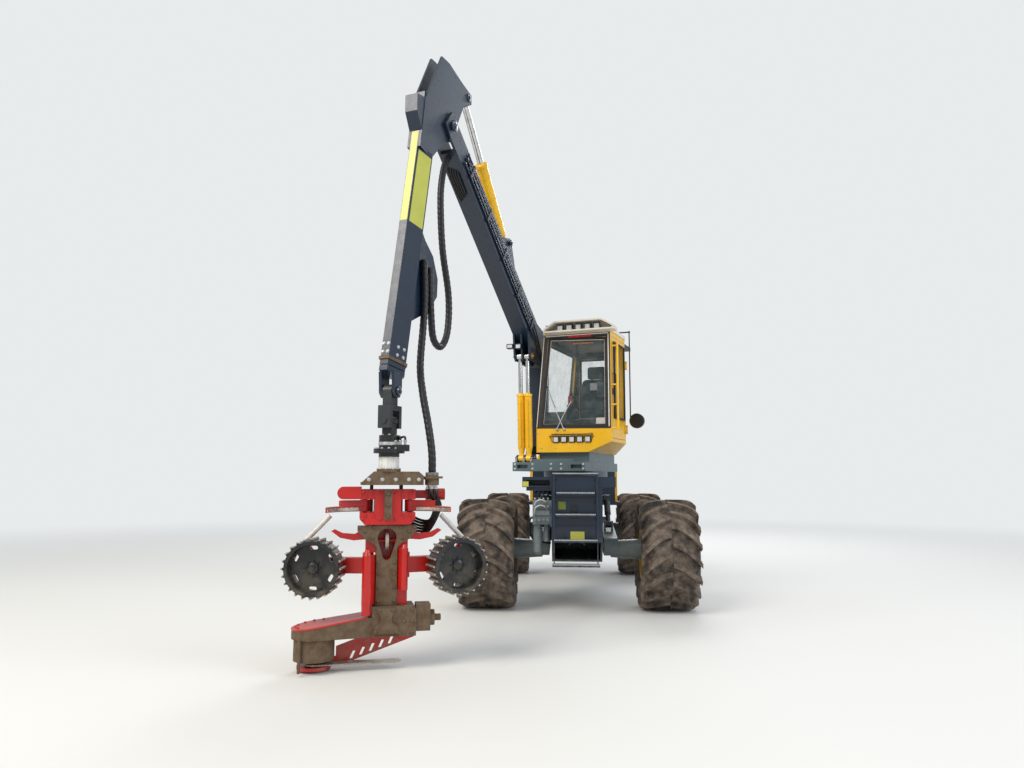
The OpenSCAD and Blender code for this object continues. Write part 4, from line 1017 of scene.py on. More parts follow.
@dataclass
class Hoses:
    """Two bundles of hydraulic hose in spiral sleeves, from the boom to the stick and on to the head."""

    radius: float = 0.036
    sides: int = 20
    step: float = 0.0075
    wrap_pitch: float = 0.056
    wrap_foot: float = 0.9
    wrap_height: float = 0.12
    loop: tuple[Point, ...] = (
        (-20, 2990, 5240.6), (-20, 3010, 5213.4), (-20, 3030, 5186.2), (-10, 3120, 5030), (10, 3210, 4700),
        (30, 3190, 4150), (40, 3050, 3650), (46.3, 3080, 3260), (46.3, 3230, 3070), (46.3, 3400, 3130),
        (46.3, 3460, 3400), (46.3, 3480, 3650), (46.3, 3490, 3850),
    )
    run: tuple[Point, ...] = (
        (46.3, 3620, 3900), (46.3, 3600, 3600), (46.3, 3600, 3400), (48.3, 3625, 3200), (70, 3710, 2800),
        (170, 3830, 2500), (270, 3900, 2200), (325, 3926, 1950), (332, 3926, 1757),
    )

    def line(self, knots: tuple[Point, ...]) -> np.ndarray:
        """A hose's middle line, from points left of, ahead of and above the crane's foot in millimetres."""
        q = np.array(knots, float) * MM
        return CRANE.points(smooth_path(np.stack([q[:, 0], -q[:, 1], q[:, 2]], -1), 12))

    def hose(self, name: str, knots: tuple[Point, ...], body: str, node: str) -> None:
        """Makes one bundle in a spiral wrap: r(s, v) = r0 (foot + height sqrt(|sin(pi s / pitch + v / 2)|)).

        Args:
            name: the piece's name.
            knots: the route's points.
            body: the body that carries it.
            node: the CAD node that it stands for.
        """
        coarse = self.line(knots)
        length = float(np.sum(np.linalg.norm(np.diff(coarse, axis=0), axis=1)))
        s = np.linspace(0, length, int(length / self.step))
        path = even_run(coarse, s)
        phase = math.pi * s[:, None] / self.wrap_pitch + circle(self.sides)[None, :] / 2
        wrap = np.sqrt(np.abs(np.sin(phase)))
        made = Shape()
        made.tube(path, self.radius * (self.wrap_foot + self.wrap_height * wrap), self.sides)
        obj = made.piece(name, body, Paint.HOSE, smooth=60, instead=(node,))

    def build(self) -> None:
        """Makes both bundles."""
        self.hose("hose_loop_to_stick", self.loop, "boom", "stick_hoses")
        self.hose("hose_run_to_head", self.run, "stick", "head_hoses")


@dataclass
class Crane:
    """Pin caps, glands, pipes, bands and lamps of the crane, on points ahead of and above its foot."""

    foot: Pair = (0.09, 2.14)
    lift_low: Pair = (0.62, 1.96)
    lift_high: Pair = (0.69, 3.34)
    knee: Pair = (0.35, 3.5)
    tip: Pair = (3.13, 5.53)
    cylinder: Pair = (1.43, 4.7)
    tail: Pair = (2.66, 6.09)
    end: Pair = (4.15, 2.505)
    stick_top: Pair = (3.56, 5.56)
    stick_end: Pair = (4.15, 2.76)
    pipe_clamps: tuple[float, ...] = (0.45, 1.05, 1.65, 2.25, 2.85)
    tip_hoses: tuple[float, ...] = (-0.07, -0.045, -0.02, 0.005, 0.03)
    mouth: float = 2.822

    @staticmethod
    def at(p: Pair, off: float = 0.0) -> np.ndarray:
        """A point in the crane's axes, off to its left."""
        return np.array([off, -p[0], p[1]])

    def along(self, a: Pair, b: Pair, s: float, n: float = 0.0, off: float = 0.0) -> np.ndarray:
        """The point s metres from a towards b, n square to that line and off to the left.

        Args:
            a, b: two of the crane's points.
            s, n, off: lengths along the line, square to it and to the left.

        Returns:
            The point.
        """
        d = unit(np.subtract(b, a))
        return self.at(np.add(a, s * d + n * np.array([-d[1], d[0]])), off)

    def on_lift(self, s: float, n: float = 0.0, off: float = 0.0) -> np.ndarray:
        """A point along the lift cylinders, from their lower pin."""
        return self.along(self.lift_low, self.lift_high, s, n, off)

    def on_ram(self, s: float, n: float = 0.0, off: float = 0.0) -> np.ndarray:
        """A point along the stick cylinder, from its pin on the boom."""
        return self.along(self.cylinder, self.tail, s, n, off)

    def on_boom(self, s: float, n: float = 0.0, off: float = 0.0) -> np.ndarray:
        """A point along the boom, from its knee."""
        return self.along(self.knee, self.tip, s, n, off)

    def on_stick(self, s: float, n: float = 0.0, off: float = 0.0) -> np.ndarray:
        """A point along the stick, from its top."""
        return self.along(self.stick_top, self.stick_end, s, n, off)

    def pins(self) -> None:
        """Makes a domed cap with three screws at both ends of each pin, and the lift pins' grease caps."""
        ends = {"upper": ((self.foot, 0.137, 0.137, 0.062), (self.lift_low, 0.129, 0.119, 0.036)),
                "boom": ((self.tip, 0.13, 0.13, 0.066), (self.cylinder, 0.115, 0.115, 0.042)),
                "stick": ((self.tail, 0.0755, 0.0755, 0.048),),
                "extension": ((self.end, 0.089, 0.089, 0.044),)}
        for body, row in ends.items():
            caps, screws = Shape(CRANE), Shape(CRANE)
            for p, left, right, r in row:
                for side, off in ((1, left), (-1, right)):
                    caps.turned([(r, -0.001), (r, 0.007), (r - 0.004, 0.011), (r * 0.4, 0.014),
                                 (r * 0.38, 0.02), (r * 0.2, 0.021)], self.at(p, side * off),
                                (side, 0, 0), 36)
                    spots = [self.at((p[0] + 0.7 * r * math.cos(t), p[1] + 0.7 * r * math.sin(t)),
                                     side * (off + 0.01)) for t in (0.4, 2.5, 4.6)]
                    screws.bolts(spots, (side, 0, 0), 0.013, 0.008)
            caps.piece(f"pin_caps_{body}", body, Paint.NAVY, smooth=50)
            screws.piece(f"pin_screws_{body}", body, Paint.GALVANISED)
        gold = Shape(CRANE)
        for side, off in ((1, 0.124), (-1, 0.114)):
            gold.turned([(0.036, -0.001), (0.036, 0.008), (0.03, 0.012), (0.014, 0.016), (0.012, 0.03),
                         (0.006, 0.032)], self.at(self.lift_high, side * off), (side, 0, 0), 36)
        gold.piece("lift_pin_grease_caps", "boom", Paint.BRASS, smooth=50)

    def glands(self) -> None:
        """Makes the gland rings, wiper rings and hard pipes of the lift and stick cylinders."""
        lift, stick = Shape(CRANE), Shape(CRANE)
        axis = self.at(self.lift_high) - self.at(self.lift_low)
        for off in (-0.048, 0.058):
            lift.turned([(0.0282, 0.0), (0.052, 0.0), (0.057, 0.004), (0.057, 0.03), (0.052, 0.036),
                         (0.036, 0.04), (0.033, 0.05), (0.0282, 0.05)], self.on_lift(0.832, 0, off), axis,
                        40, closed=True)
            route = ((0.16, -0.052), (0.2, -0.066), (0.45, -0.067), (0.76, -0.066), (0.8, -0.052))
            lift.bent([self.on_lift(s, n, off + 0.012) for s, n in route], 0.008, steps=6)
            for s in (0.27, 0.52, 0.74):
                lift.turned(oblong(0.0502, -0.008, 0.0535, 0.008), self.on_lift(s, 0, off), axis,
                            32, closed=True)
        lift.piece("lift_glands_and_pipes", "lift_barrels", Paint.YELLOW, smooth=40)
        axis = self.at(self.tail) - self.at(self.cylinder)
        stick.turned([(0.0405, 0.0), (0.07, 0.0), (0.077, 0.005), (0.077, 0.045), (0.07, 0.052),
                      (0.05, 0.056), (0.046, 0.068), (0.0405, 0.068)], self.on_ram(1.02), axis,
                     48, closed=True)
        route = ((0.17, 0.068), (0.21, 0.086), (0.6, 0.087), (0.96, 0.086), (1.0, 0.068))
        stick.bent([self.on_ram(s, n, 0.02) for s, n in route], 0.01, steps=6)
        for s in (0.3, 0.62, 0.9):
            stick.turned(oblong(0.0702, -0.01, 0.0745, 0.01), self.on_ram(s), axis, 40, closed=True)
        stick.piece("stick_gland_and_pipe", "stick_barrel", Paint.YELLOW, smooth=40)

    def boom_pipes(self) -> None:
        """Makes three hard pipes up the boom's left side, their clamps and the hoses at both ends."""
        pipes, clamps = Shape(CRANE), Shape(CRANE)
        length = float(np.linalg.norm(np.subtract(self.tip, self.knee)))
        for n in (-0.078, 0.008, 0.086):
            knots = [self.at((0.16 - n, 2.5), 0.123), self.at((0.2 - n * 0.9, 2.9), 0.123),
                     self.at((0.3 - n * 0.7, 3.3), 0.123)]
            knots += [self.on_boom(s, n, 0.123) for s in (0.35, 0.8, 1.6, 2.4, length - 0.42)]
            pipes.bent(knots, 0.0105)
            pipes.bolts([knots[-1], knots[0]], LEFT, 0.03, 0.014)
        for s in self.pipe_clamps:
            a, b = self.on_boom(s - 0.02, -0.1, 0.11), self.on_boom(s + 0.02, -0.1, 0.11)
            up = self.on_boom(s - 0.02, 0.11, 0.11) - a
            depth = -0.03 if np.cross(b - a, up)[0] < 0 else 0.03
            clamps.prism(oblong(0, 0, 0.04, 0.21), a, b - a, up, depth)
        pipes.piece("boom_pipes", "boom", Paint.NAVY, smooth=50)
        clamps.piece("boom_pipe_clamps", "boom", Paint.BLACK, bevel=0.003)
        hoses = Shape(CRANE)
        for k, off in enumerate(self.tip_hoses):
            lead, drop, tail = 0.02 * k, -0.184 + 0.003 * k, -0.015 * k
            path = ((length - 0.86 + lead, -0.14), (length - 0.82 + lead, -0.166), (length - 0.7, drop),
                    (length - 0.5, drop), (length - 0.42 + tail, -0.166), (length - 0.38 + tail, -0.14))
            knots = [self.on_boom(s, n, off) for s, n in path]
            hoses.bent(knots, 0.011)
        hoses.piece("boom_tip_hoses", "boom", Paint.HOSE, smooth=60)

    def bands(self) -> None:
        """Makes the blank yellow bands on the stick's front and left side, each a film 1 mm thick."""
        film = Shape(CRANE)
        front = [(0.375, 0.1302), (0.565, 0.1265), (0.575, 0.1262), (1.4, 0.1262)]
        g = [[self.on_stick(s, n, w) for w in (-0.04, 0.04)] for s, n in front]
        back = [[self.on_stick(s, n - 0.001, w) for w in (0.04, -0.04)] for s, n in front]
        film.grid(np.array([[*a, *b] for a, b in zip(g, back)]))
        lean, ends = [(0.1, 0.0497), (-0.095, 0.0929)], (0.58, 1.4)
        g = [[self.on_stick(s, n, w) for n, w in lean] for s in ends]
        back = [[self.on_stick(s, n, w - 0.001) for n, w in lean[::-1]] for s in ends]
        film.grid(np.array([[*a, *b] for a, b in zip(g, back)]))
        film.piece("stick_bands", "stick", Paint.SIGNAL)

    def joints(self) -> None:
        """Makes the wear-pad screws and collar at the stick's mouth, and the rotator's screws and hoses."""
        pads = Shape(CRANE)
        for s in (2.7, 2.78):
            pads.bolts([self.on_stick(s, 0.126, w) for w in (-0.025, 0.025)],
                       self.on_stick(0, 1) - self.on_stick(0, 0), 0.024, 0.012)
            for n in (-0.06, 0.02):
                w = 0.043 + (0.125 - n) * 52 / 235
                pads.bolts([self.on_stick(s, n, w)], (0.976, -0.2, 0.04), 0.024, 0.012)
                pads.bolts([self.on_stick(s, n, -w)], (-0.976, -0.2, 0.04), 0.024, 0.012)
        pads.piece("stick_wear_pad_screws", "stick", Paint.GALVANISED)
        collar = Shape(CRANE)
        skin = [(0.06, -0.1505), (0.0955, -0.1105), (0.0435, 0.1255), (-0.0435, 0.1255), (-0.0955, -0.1105),
                (-0.06, -0.1505)]
        mouth = self.on_stick(self.mouth)
        square = self.on_stick(self.mouth, 1.0) - mouth
        collar.ring(skin, tuple(mouth), LEFT, tuple(square), -0.013, 0.03, flip=True)
        collar.piece("stick_mouth_collar", "stick", Paint.WORN, bevel=0.002)
        turns = circle(12)
        middle = self.at((self.end[0], 0.0))
        ring = Shape(CRANE)
        ring.bolts(middle + np.stack([0.126 * np.cos(turns), 0.126 * np.sin(turns), np.full(12, 1.97)], -1),
                   UP, 0.019, 0.012)
        ring.bolts(middle + np.stack([0.07 * np.cos(turns[::2]), 0.07 * np.sin(turns[::2]),
                                      np.full(6, 2.095)], -1), UP, 0.019, 0.012)
        ring.turned([(0.0955, 2.0), (0.1, 2.003), (0.1, 2.03), (0.0955, 2.033)], middle, UP, 40, closed=True)
        plugs = ((0.19, -0.04), (0.14, -0.04), (0.09, -0.04))
        for x, y in plugs:
            ring.turned([(0.012, 2.004), (0.012, 2.03), (0.016, 2.03), (0.016, 2.048)],
                        middle + [x, y, 0], UP, 6)
        ring.piece("rotator_screws", "cross", Paint.GALVANISED)
        lines = Shape(CRANE)
        for k, (x, y) in enumerate(plugs):
            knots = [middle + [x, y, 2.04], middle + [x, y, 2.066],
                     middle + [x * 0.85 + 0.01, y + 0.008, 2.078], middle + [0.095 - 0.02 * k, 0.0, 2.062],
                     middle + [0.08 - 0.02 * k, 0.01, 2.04]]
            lines.bent(knots, 0.01)
        lines.piece("rotator_hoses", "cross", Paint.HOSE, smooth=60)

    def lamps(self) -> None:
        """Makes lens and rim of the two work lamps under the knee."""
        rims, lenses = Shape(CRANE), Shape(CRANE)
        for off, u, z, w, h in ((-0.015, 0.85, 3.456, 0.08, 0.066), (-0.156, 0.8, 3.4725, 0.088, 0.059)):
            x0, z0 = off - w / 2, z - h / 2
            box = oblong(0, 0, w, h)
            rims.ring(box, (x0, -u - 0.004, z0), LEFT, UP, 0.007, 0.004)
            lenses.prism(oblong(0.006, 0.006, w - 0.006, h - 0.006), (x0, -u - 0.0025, z0), LEFT, UP, -0.002)
        rims.piece("knee_lamp_rims", "boom", Paint.BLACK)
        lenses.piece("knee_lamp_lenses", "boom", Paint.LENS)

    def build(self) -> None:
        """Makes all the crane's small pieces."""
        self.pins()
        self.glands()
        self.boom_pipes()
        self.bands()
        self.joints()
        self.lamps()


@dataclass
class Seat:
    """Sprung operator's seat: crowned cushions with piped edges and sewn channels on a bellows foot."""

    middle: float = 0.17
    floor: float = 2.09
    piping_row: int = 38

    def cushion(self, name: str, middle: Point, half: Point, turn: float,
                channels: tuple[float, ...]) -> None:
        """Makes one cushion and its piping.

        A rounded box p(u, v) with x = a cos^e u cos^f v, y = b cos^e u sin^f v and z = c sin^e u. Its
        sides pull in by 4 % between the corners, its face is crowned by 16 % and each sewn channel sinks
        in as a bell curve.

        Args:
            name: the piece's name.
            middle: its centre in the cab's axes.
            half: half its width, length and thickness.
            turn: how far its face leans back, in degrees.
            channels: places of the sewn channels along its length, from -1 to 1.
        """
        a, b, c = half
        u = np.linspace(-math.pi / 2, math.pi / 2, 61)[:, None]
        v = circle(160)[None, :]
        x = signed_power(np.cos(u), 0.34) * signed_power(np.cos(v), 0.3)
        y = signed_power(np.cos(u), 0.34) * signed_power(np.sin(v), 0.3)
        z = signed_power(np.sin(u), 0.5) * np.ones_like(v)
        crown = 1 + 0.16 * np.clip((1 - x ** 2) * (1 - y ** 2), 0, 1)
        sewn = sum((np.exp(-((y - k) / 0.035) ** 2) for k in channels), np.zeros_like(x))
        groove = sewn * (z > 0.1) * (np.abs(x) < 0.97)
        flat = np.stack([a * x * (0.96 + 0.04 * y ** 2), b * y * (0.96 + 0.04 * x ** 2),
                         c * z * crown - 0.011 * groove], -1)
        t = math.radians(turn)
        lean = np.array([[1, 0, 0], [0, math.cos(t), -math.sin(t)], [0, math.sin(t), math.cos(t)]])
        pad = Shape(UPPER)
        pad.grid(flat @ lean.T + np.array(middle), ends=False)
        instead = ("cab_seat",) if "base" in name else ()
        obj = pad.piece(name, "upper", Paint.CLOTH, smooth=70, instead=instead)
        edge = flat[self.piping_row] * [1.012, 1.012, 1.0] @ lean.T + np.array(middle)
        piping = Shape(UPPER)
        piping.tube(np.vstack([edge, edge[:2]]), 0.0055, 8)
        piping.piece(f"{name}_piping", "upper", Paint.SEAL, smooth=70)

    def foot(self) -> None:
        """Makes the bellows foot, the slide rails and the pan under the cushion."""
        x, z = self.middle, self.floor
        foot = Shape(UPPER)
        for k in range(7):
            grow = 0.012 if k % 2 else 0.0
            foot.block((x - 0.17 - grow, 0.11 - grow, z + 0.055 + k * 0.035),
                       (x + 0.12 + grow, 0.46 + grow, z + 0.09 + k * 0.035))
        foot.piece("seat_bellows", "upper", Paint.SEAL, bevel=0.01)
        pan = Shape(UPPER)
        pan.block((x - 0.18, 0.1, z + 0.003), (x + 0.13, 0.48, z + 0.05))
        pan.block((x - 0.22, 0.06, z + 0.3), (x + 0.22, 0.5, z + 0.335))
        for side in (-1, 1):
            pan.block((x + side * 0.25 - 0.02, 0.3, z + 0.35), (x + side * 0.25 + 0.02, 0.36, z + 0.56))
            pan.rod((x + side * 0.07, 0.55, z + 0.95), (x + side * 0.07, 0.56, z + 1.15), 0.009, 12)
        pan.piece("seat_pan", "upper", Paint.BLACK, bevel=0.006)

    def build(self) -> None:
        """Makes the foot, the base, the back, the head pad, the arm pads and the blank patch on the back."""
        x, z = self.middle, self.floor
        self.foot()
        self.cushion("seat_base_cushion", (x, 0.29, z + 0.395), (0.245, 0.25, 0.06), 4,
                     (-0.45, 0.0, 0.45))
        self.cushion("seat_back_cushion", (x, 0.535, z + 0.745), (0.225, 0.31, 0.055), 86,
                     (-0.5, -0.1, 0.3))
        self.cushion("seat_head_cushion", (x, 0.55, z + 1.14), (0.135, 0.09, 0.045), 86, ())
        for side in (-1, 1):
            self.cushion(f"seat_arm_pad_{'left' if side > 0 else 'right'}",
                         (x + side * 0.245, 0.25, z + 0.58), (0.035, 0.15, 0.022), 0, ())
        patch = Shape(UPPER)
        patch.prism(oblong(-0.09, -0.05, 0.09, 0.055), (x + 0.01, 0.4555, z + 0.93), LEFT,
                    (0, -0.07, 1), 0.003)
        patch.piece("seat_blank_patch", "upper", Paint.GREY_CLOTH)


@dataclass
class Cab:
    """Window seals, wipers, lamps, door fittings and what shows through the glass."""

    left: float = -0.374
    right: float = 0.666
    front: float = -0.56
    back: float = 0.94
    base: float = 2.04
    top: float = 3.64
    pane: tuple[Pair, ...] = ((-0.312, 2.385), (0.614, 2.368), (0.618, 3.56), (-0.193, 3.59))
    # painted highlight: the pale band along the front pane's edge stands for the glint of the glass
    pane_highlight_edge: tuple[Pair, ...] = ((-0.282, 2.414), (0.585, 2.398), (0.588, 3.532), (-0.168, 3.56))
    # painted highlights: pale lines on the left, right and top of the window stand for glints on the glass
    # edge
    highlight_strips: tuple[tuple[Pair, Pair, float], ...] = (
        ((-0.362, 2.38), (-0.252, 3.6), 0.009),
        ((0.643, 2.375), (0.643, 3.6), 0.012),
        ((-0.235, 3.606), (0.64, 3.606), 0.012),
    )
    right_window: Pair = (2.5, 3.54)
    lamp_count: int = 5

    def right_wall(self, z: float) -> float:
        """Where the right wall stands at height z: it leans by 115 mm over 1255 mm."""
        return self.left + 0.115 * (z - 2.385) / 1.255

    def seals(self) -> None:
        """Makes the front, right and rear window seals and the painted highlight on the front pane's edge."""
        z0, z1 = self.right_window
        x0, x1 = self.right_wall(z0), self.right_wall(z1)
        slope, tall = (x1 - x0, 0.0, z1 - z0), math.dist((x0, z0), (x1, z1))
        seal = Shape(UPPER)
        seal.ring(list(self.pane), (0, self.front - 0.007, 0), LEFT, UP, 0.03, -0.035, flip=True)
        seal.ring(oblong(0, 0, 1.24, tall), (x0 - 0.006, -0.44, z0), BACK, slope, 0.028, 0.02)
        seal.ring(oblong(0, 0, 0.45, 0.9), (-0.204, self.back + 0.006, 2.6), LEFT, UP, 0.028, 0.02)
        seal.piece("window_seals", "upper", Paint.SEAL, bevel=0.003)
        # painted highlight: a pale band round the front pane's edge, the glint of the glass
        edge = Shape(UPPER)
        edge.ring(list(self.pane_highlight_edge), (0, self.front + 0.013, 0), LEFT, UP, 0.009, -0.004, flip=True)
        edge.piece("front_pane_painted_highlight", "upper", Paint.PAPER)
        outer = [(-0.372, 2.36), (0.662, 2.345), (0.662, 3.628), (self.right_wall(3.628) + 0.003, 3.628)]
        Shape(UPPER).ring(outer, (0, self.front - 0.0005, 0), LEFT, UP, 0.062, -0.005, flip=True).piece(
            "front_window_surround", "upper", Paint.TRIM, bevel=0.002)
        # painted highlights: pale lines along the window's left, right and top edges
        highlight_strips = Shape(UPPER)
        for (x2, z2), (x3, z3), w in self.highlight_strips:
            d, long = unit([x3 - x2, 0, z3 - z2]), math.dist((x2, z2), (x3, z3))
            highlight_strips.prism(oblong(0, 0, long, w), (x2, self.front - 0.005, z2), tuple(d),
                         (-d[2], 0, d[0]), 0.003)
        highlight_strips.piece("front_window_highlight_strips", "upper", Paint.PAPER)
        Shape(UPPER).block((0.087, self.front - 0.012, 3.578), (0.409, self.front - 0.004, 3.604)).piece(
            "red_sunshade_roll", "upper", Paint.RED_PLASTIC, bevel=0.003)
        trim = oblong(-0.065, -0.07, 1.33, tall + 0.045)
        Shape(UPPER).ring(trim, (x0 + 0.054, -0.44, z0), BACK, slope, 0.068, 0.012).piece(
            "right_inner_trim", "upper", Paint.ABS, bevel=0.003)

    def door_window(self) -> None:
        """Makes the door's seal and its pane."""
        seal = Shape(UPPER)
        seal.ring(oblong(0, 0, 0.57, 1.03), (self.right + 0.005, -0.435, 2.485), BACK, UP, 0.026, 0.02)
        seal.piece("door_seal", "door", Paint.SEAL, bevel=0.003)
        Shape(UPPER).block((self.right - 0.028, -0.43, 2.49), (self.right - 0.022, 0.13, 3.51)).piece(
            "door_pane", "door", Paint.GLASS)

    def wipers(self) -> None:
        """Makes two crossing wipers with their arms, blades and spindles."""
        arms, blades = Shape(UPPER), Shape(UPPER)
        y = self.front - 0.02
        for (x0, z0), (x1, z1) in (((0.02, 2.345), (-0.19, 2.86)), ((-0.08, 2.345), (0.13, 2.72))):
            arms.turned([(0.02, 0), (0.02, 0.02), (0.013, 0.028), (0.006, 0.03)],
                        (x0, self.front + 0.002, z0), AHEAD, 20)
            arms.bent([(x0, y - 0.004, z0), ((x0 + x1) / 2, y - 0.022, (z0 + z1) / 2), (x1, y - 0.008, z1)],
                      0.0065, steps=6, sides=8)
            d = unit([x1 - x0, 0, z1 - z0])
            a, b = np.array([x1, y + 0.002, z1]) - 0.24 * d, np.array([x1, y + 0.002, z1]) + 0.2 * d
            blades.rod(tuple(a), tuple(b), 0.006, 8)
        arms.piece("wiper_arms", "upper", Paint.GALVANISED, smooth=60)
        blades.piece("wiper_blades", "upper", Paint.SEAL, smooth=60)

    def lamps(self) -> None:
        """Makes housings round the visor's five lamps and the five below the window, and the guard."""
        rims = Shape(UPPER)
        for k in range(self.lamp_count):
            rims.ring(oblong(0, 0, 0.092, 0.092), (0.017 + k * 0.126 - 0.046, -0.716, 3.641),
                      LEFT, UP, 0.012, -0.05, flip=True)
            rims.ring(oblong(0, 0, 0.082, 0.082), (-0.094 + k * 0.11 - 0.041, -0.579, 2.17),
                      LEFT, UP, 0.01, -0.04, flip=True)
        rims.piece("lamp_housings", "upper", Paint.ABS, bevel=0.002)
        rest = Shape(UPPER)
        rest.block((-0.16, -0.552, 2.165), (0.40, -0.528, 2.172))
        rest.rod((-0.15, -0.592, 2.275), (0.42, -0.592, 2.275), 0.008, 12)
        for x in (-0.14, 0.14, 0.41):
            rest.rod((x, -0.56, 2.275), (x, -0.592, 2.275), 0.006, 10)
        rest.piece("lamp_guard", "upper", Paint.BLACK, smooth=60)

    def interior(self) -> None:
        """Makes the headliner, roof lamp, levers, screen, pedals and loose things in view."""
        dark = Shape(UPPER)
        dark.block((self.left + 0.17, self.front + 0.06, 3.575), (self.right - 0.055, self.back - 0.1, 3.63))
        dark.block((self.left + 0.06, self.front + 0.06, self.base + 0.052),
                   (-0.2, self.back - 0.5, self.base + 0.056))
        dark.block((self.right - 0.1, self.front + 0.062, 2.2), (self.right - 0.056, self.front + 0.1, 3.57))
        dark.block((-0.19, 0.8, 2.1), (0.3, 0.885, 2.58))
        dark.block((-0.2, 0.86, 3.5), (0.3, 0.886, 3.575))
        dark.block((-0.27, 0.87, 2.1), (-0.208, 0.887, 3.57))
        dark.piece("headliner_and_trim", "upper", Paint.ABS, bevel=0.008)
        Shape(UPPER).block((0.02, -0.2, 3.56), (0.32, -0.14, 3.576)).piece(
            "roof_lamp", "upper", Paint.AMBER, bevel=0.004)
        blind = Shape(UPPER)
        blind.block((0.05, self.front + 0.055, 3.545), (0.41, self.front + 0.085, 3.575))
        blind.block((-0.135, 0.1, 2.733), (-0.085, 0.15, 2.86))
        blind.rod((-0.11, 0.125, 2.85), (-0.11, 0.125, 2.9), 0.016, 20)
        blind.piece("blind_and_bottle", "upper", Paint.RED_PLASTIC, bevel=0.008)
        card = Shape(UPPER)
        card.prism(oblong(0, 0, 0.14, 0.09), (0.44, self.front + 0.06, 2.41), LEFT, (0, 0.35, 1), 0.003)
        card.piece("white_card", "upper", Paint.PAPER)
        gear = Shape(UPPER)
        for x in (-0.1, 0.495):
            gear.turned([(0.036, 0.0), (0.034, 0.012), (0.02, 0.03), (0.009, 0.05), (0.008, 0.09),
                         (0.02, 0.1), (0.024, 0.13), (0.02, 0.18), (0.008, 0.19)], (x, 0.14, 2.73),
                        (0.06, -0.12, 1), 24)
            for dy in (0.22, 0.26, 0.3):
                gear.turned([(0.014, 0), (0.014, 0.012), (0.01, 0.016)], (x, dy, 2.73), UP, 16)
        gear.block((0.44, -0.43, 2.78), (0.585, -0.395, 2.97))
        gear.rod((0.56, -0.4, 2.8), (0.615, -0.36, 2.72), 0.012, 12)
        for x in (-0.02, 0.16, 0.32):
            gear.block((x - 0.04, -0.44, 2.13), (x + 0.04, -0.34, 2.15))
        gear.piece("levers_screen_and_pedals", "upper", Paint.ABS, smooth=50, bevel=0.004)
        Shape(UPPER).prism(oblong(0, 0, 0.12, 0.16), (0.452, -0.431, 2.795), LEFT, UP, 0.002).piece(
            "screen_face", "upper", Paint.SCREEN)

    def door(self) -> None:
        """Makes the door's handle and hinge screws, the cab's screws, the roof trim and the mirror glass."""
        fit = Shape(UPPER)
        bow = ((0.002, 2.92), (0.04, 2.93), (0.045, 3.0), (0.04, 3.07), (0.002, 3.08))
        fit.bent([(self.right + out, -0.46, z) for out, z in bow], 0.009, steps=6)
        fit.block((self.right + 0.001, -0.485, 2.8), (self.right + 0.014, -0.44, 2.88))
        fit.piece("door_handle", "door", Paint.BLACK, smooth=50, bevel=0.002)
        screws = Shape(UPPER)
        for z in (2.37, 3.27):
            screws.bolts([(self.right + 0.0175, 0.155, z + dz) for dz in (-0.018, 0.018)], LEFT, 0.011, 0.007)
        screws.piece("door_hinge_screws", "door", Paint.GALVANISED)
        screws = Shape(UPPER)
        spots = [(x, self.front - 0.212, 3.652) for x in (-0.17, 0.2, 0.57, 0.74)]
        screws.bolts(spots, AHEAD, 0.012, 0.007)
        screws.bolts([(x, self.front - 0.001, 2.3) for x in (-0.34, -0.1, 0.15, 0.4)], AHEAD, 0.012, 0.007)
        screws.bolts([(x, self.front - 0.001, 2.1) for x in (-0.3, -0.1, 0.1, 0.28)], AHEAD, 0.012, 0.007)
        screws.piece("cab_screws", "upper", Paint.GALVANISED)
        trim = Shape(UPPER)
        trim.block((self.left + 0.12, self.front + 0.03, self.top + 0.128),
                   (self.left + 0.2, self.back - 0.5, self.top + 0.134))
        for y in (0.1, 0.6):
            trim.turned([(0.03, 0.13), (0.03, 0.15), (0.024, 0.158), (0.01, 0.16)],
                        (0.15, y, self.top), UP, 24)
        trim.piece("roof_trim", "upper", Paint.BLACK, bevel=0.002)
        mirror = Shape(UPPER)
        mirror.turned([(0.0975, 0.0), (0.1, 0.003), (0.096, 0.005), (0.02, 0.007)],
                      (0.786, 0.449, 2.505), BACK, 48)
        mirror.piece("mirror_glass", "upper", Paint.CHROME, smooth=60)

    def deck(self) -> None:
        """Makes the deck's screws and the hoses that come up through it beside the crane's foot."""
        screws = Shape(UPPER)
        screws.bolts([(x, -0.7, z) for x in (-0.63, -0.38, -0.12, 0.02, 0.32) for z in (1.82, 1.88)],
                     AHEAD, 0.022, 0.012)
        screws.piece("deck_screws", "upper", Paint.GALVANISED)
        lines = Shape(UPPER)
        for k in range(5):
            x = -0.36 - 0.012 * k
            knots = [(x, 0.25 + 0.05 * k, 1.912), (x - 0.01, 0.24 + 0.05 * k, 2.06),
                     (x + 0.01, 0.1 + 0.03 * k, 2.22), (x, 0.02, 2.36), (x - 0.005, -0.1, 2.5)]
            lines.bent(knots, 0.0105)
        lines.piece("crane_foot_hoses", "upper", Paint.HOSE, smooth=60)

    def build(self) -> None:
        """Makes all the cab's small pieces."""
        self.seals()
        self.door_window()
        self.wipers()
        self.lamps()
        self.interior()
        self.door()
        self.deck()


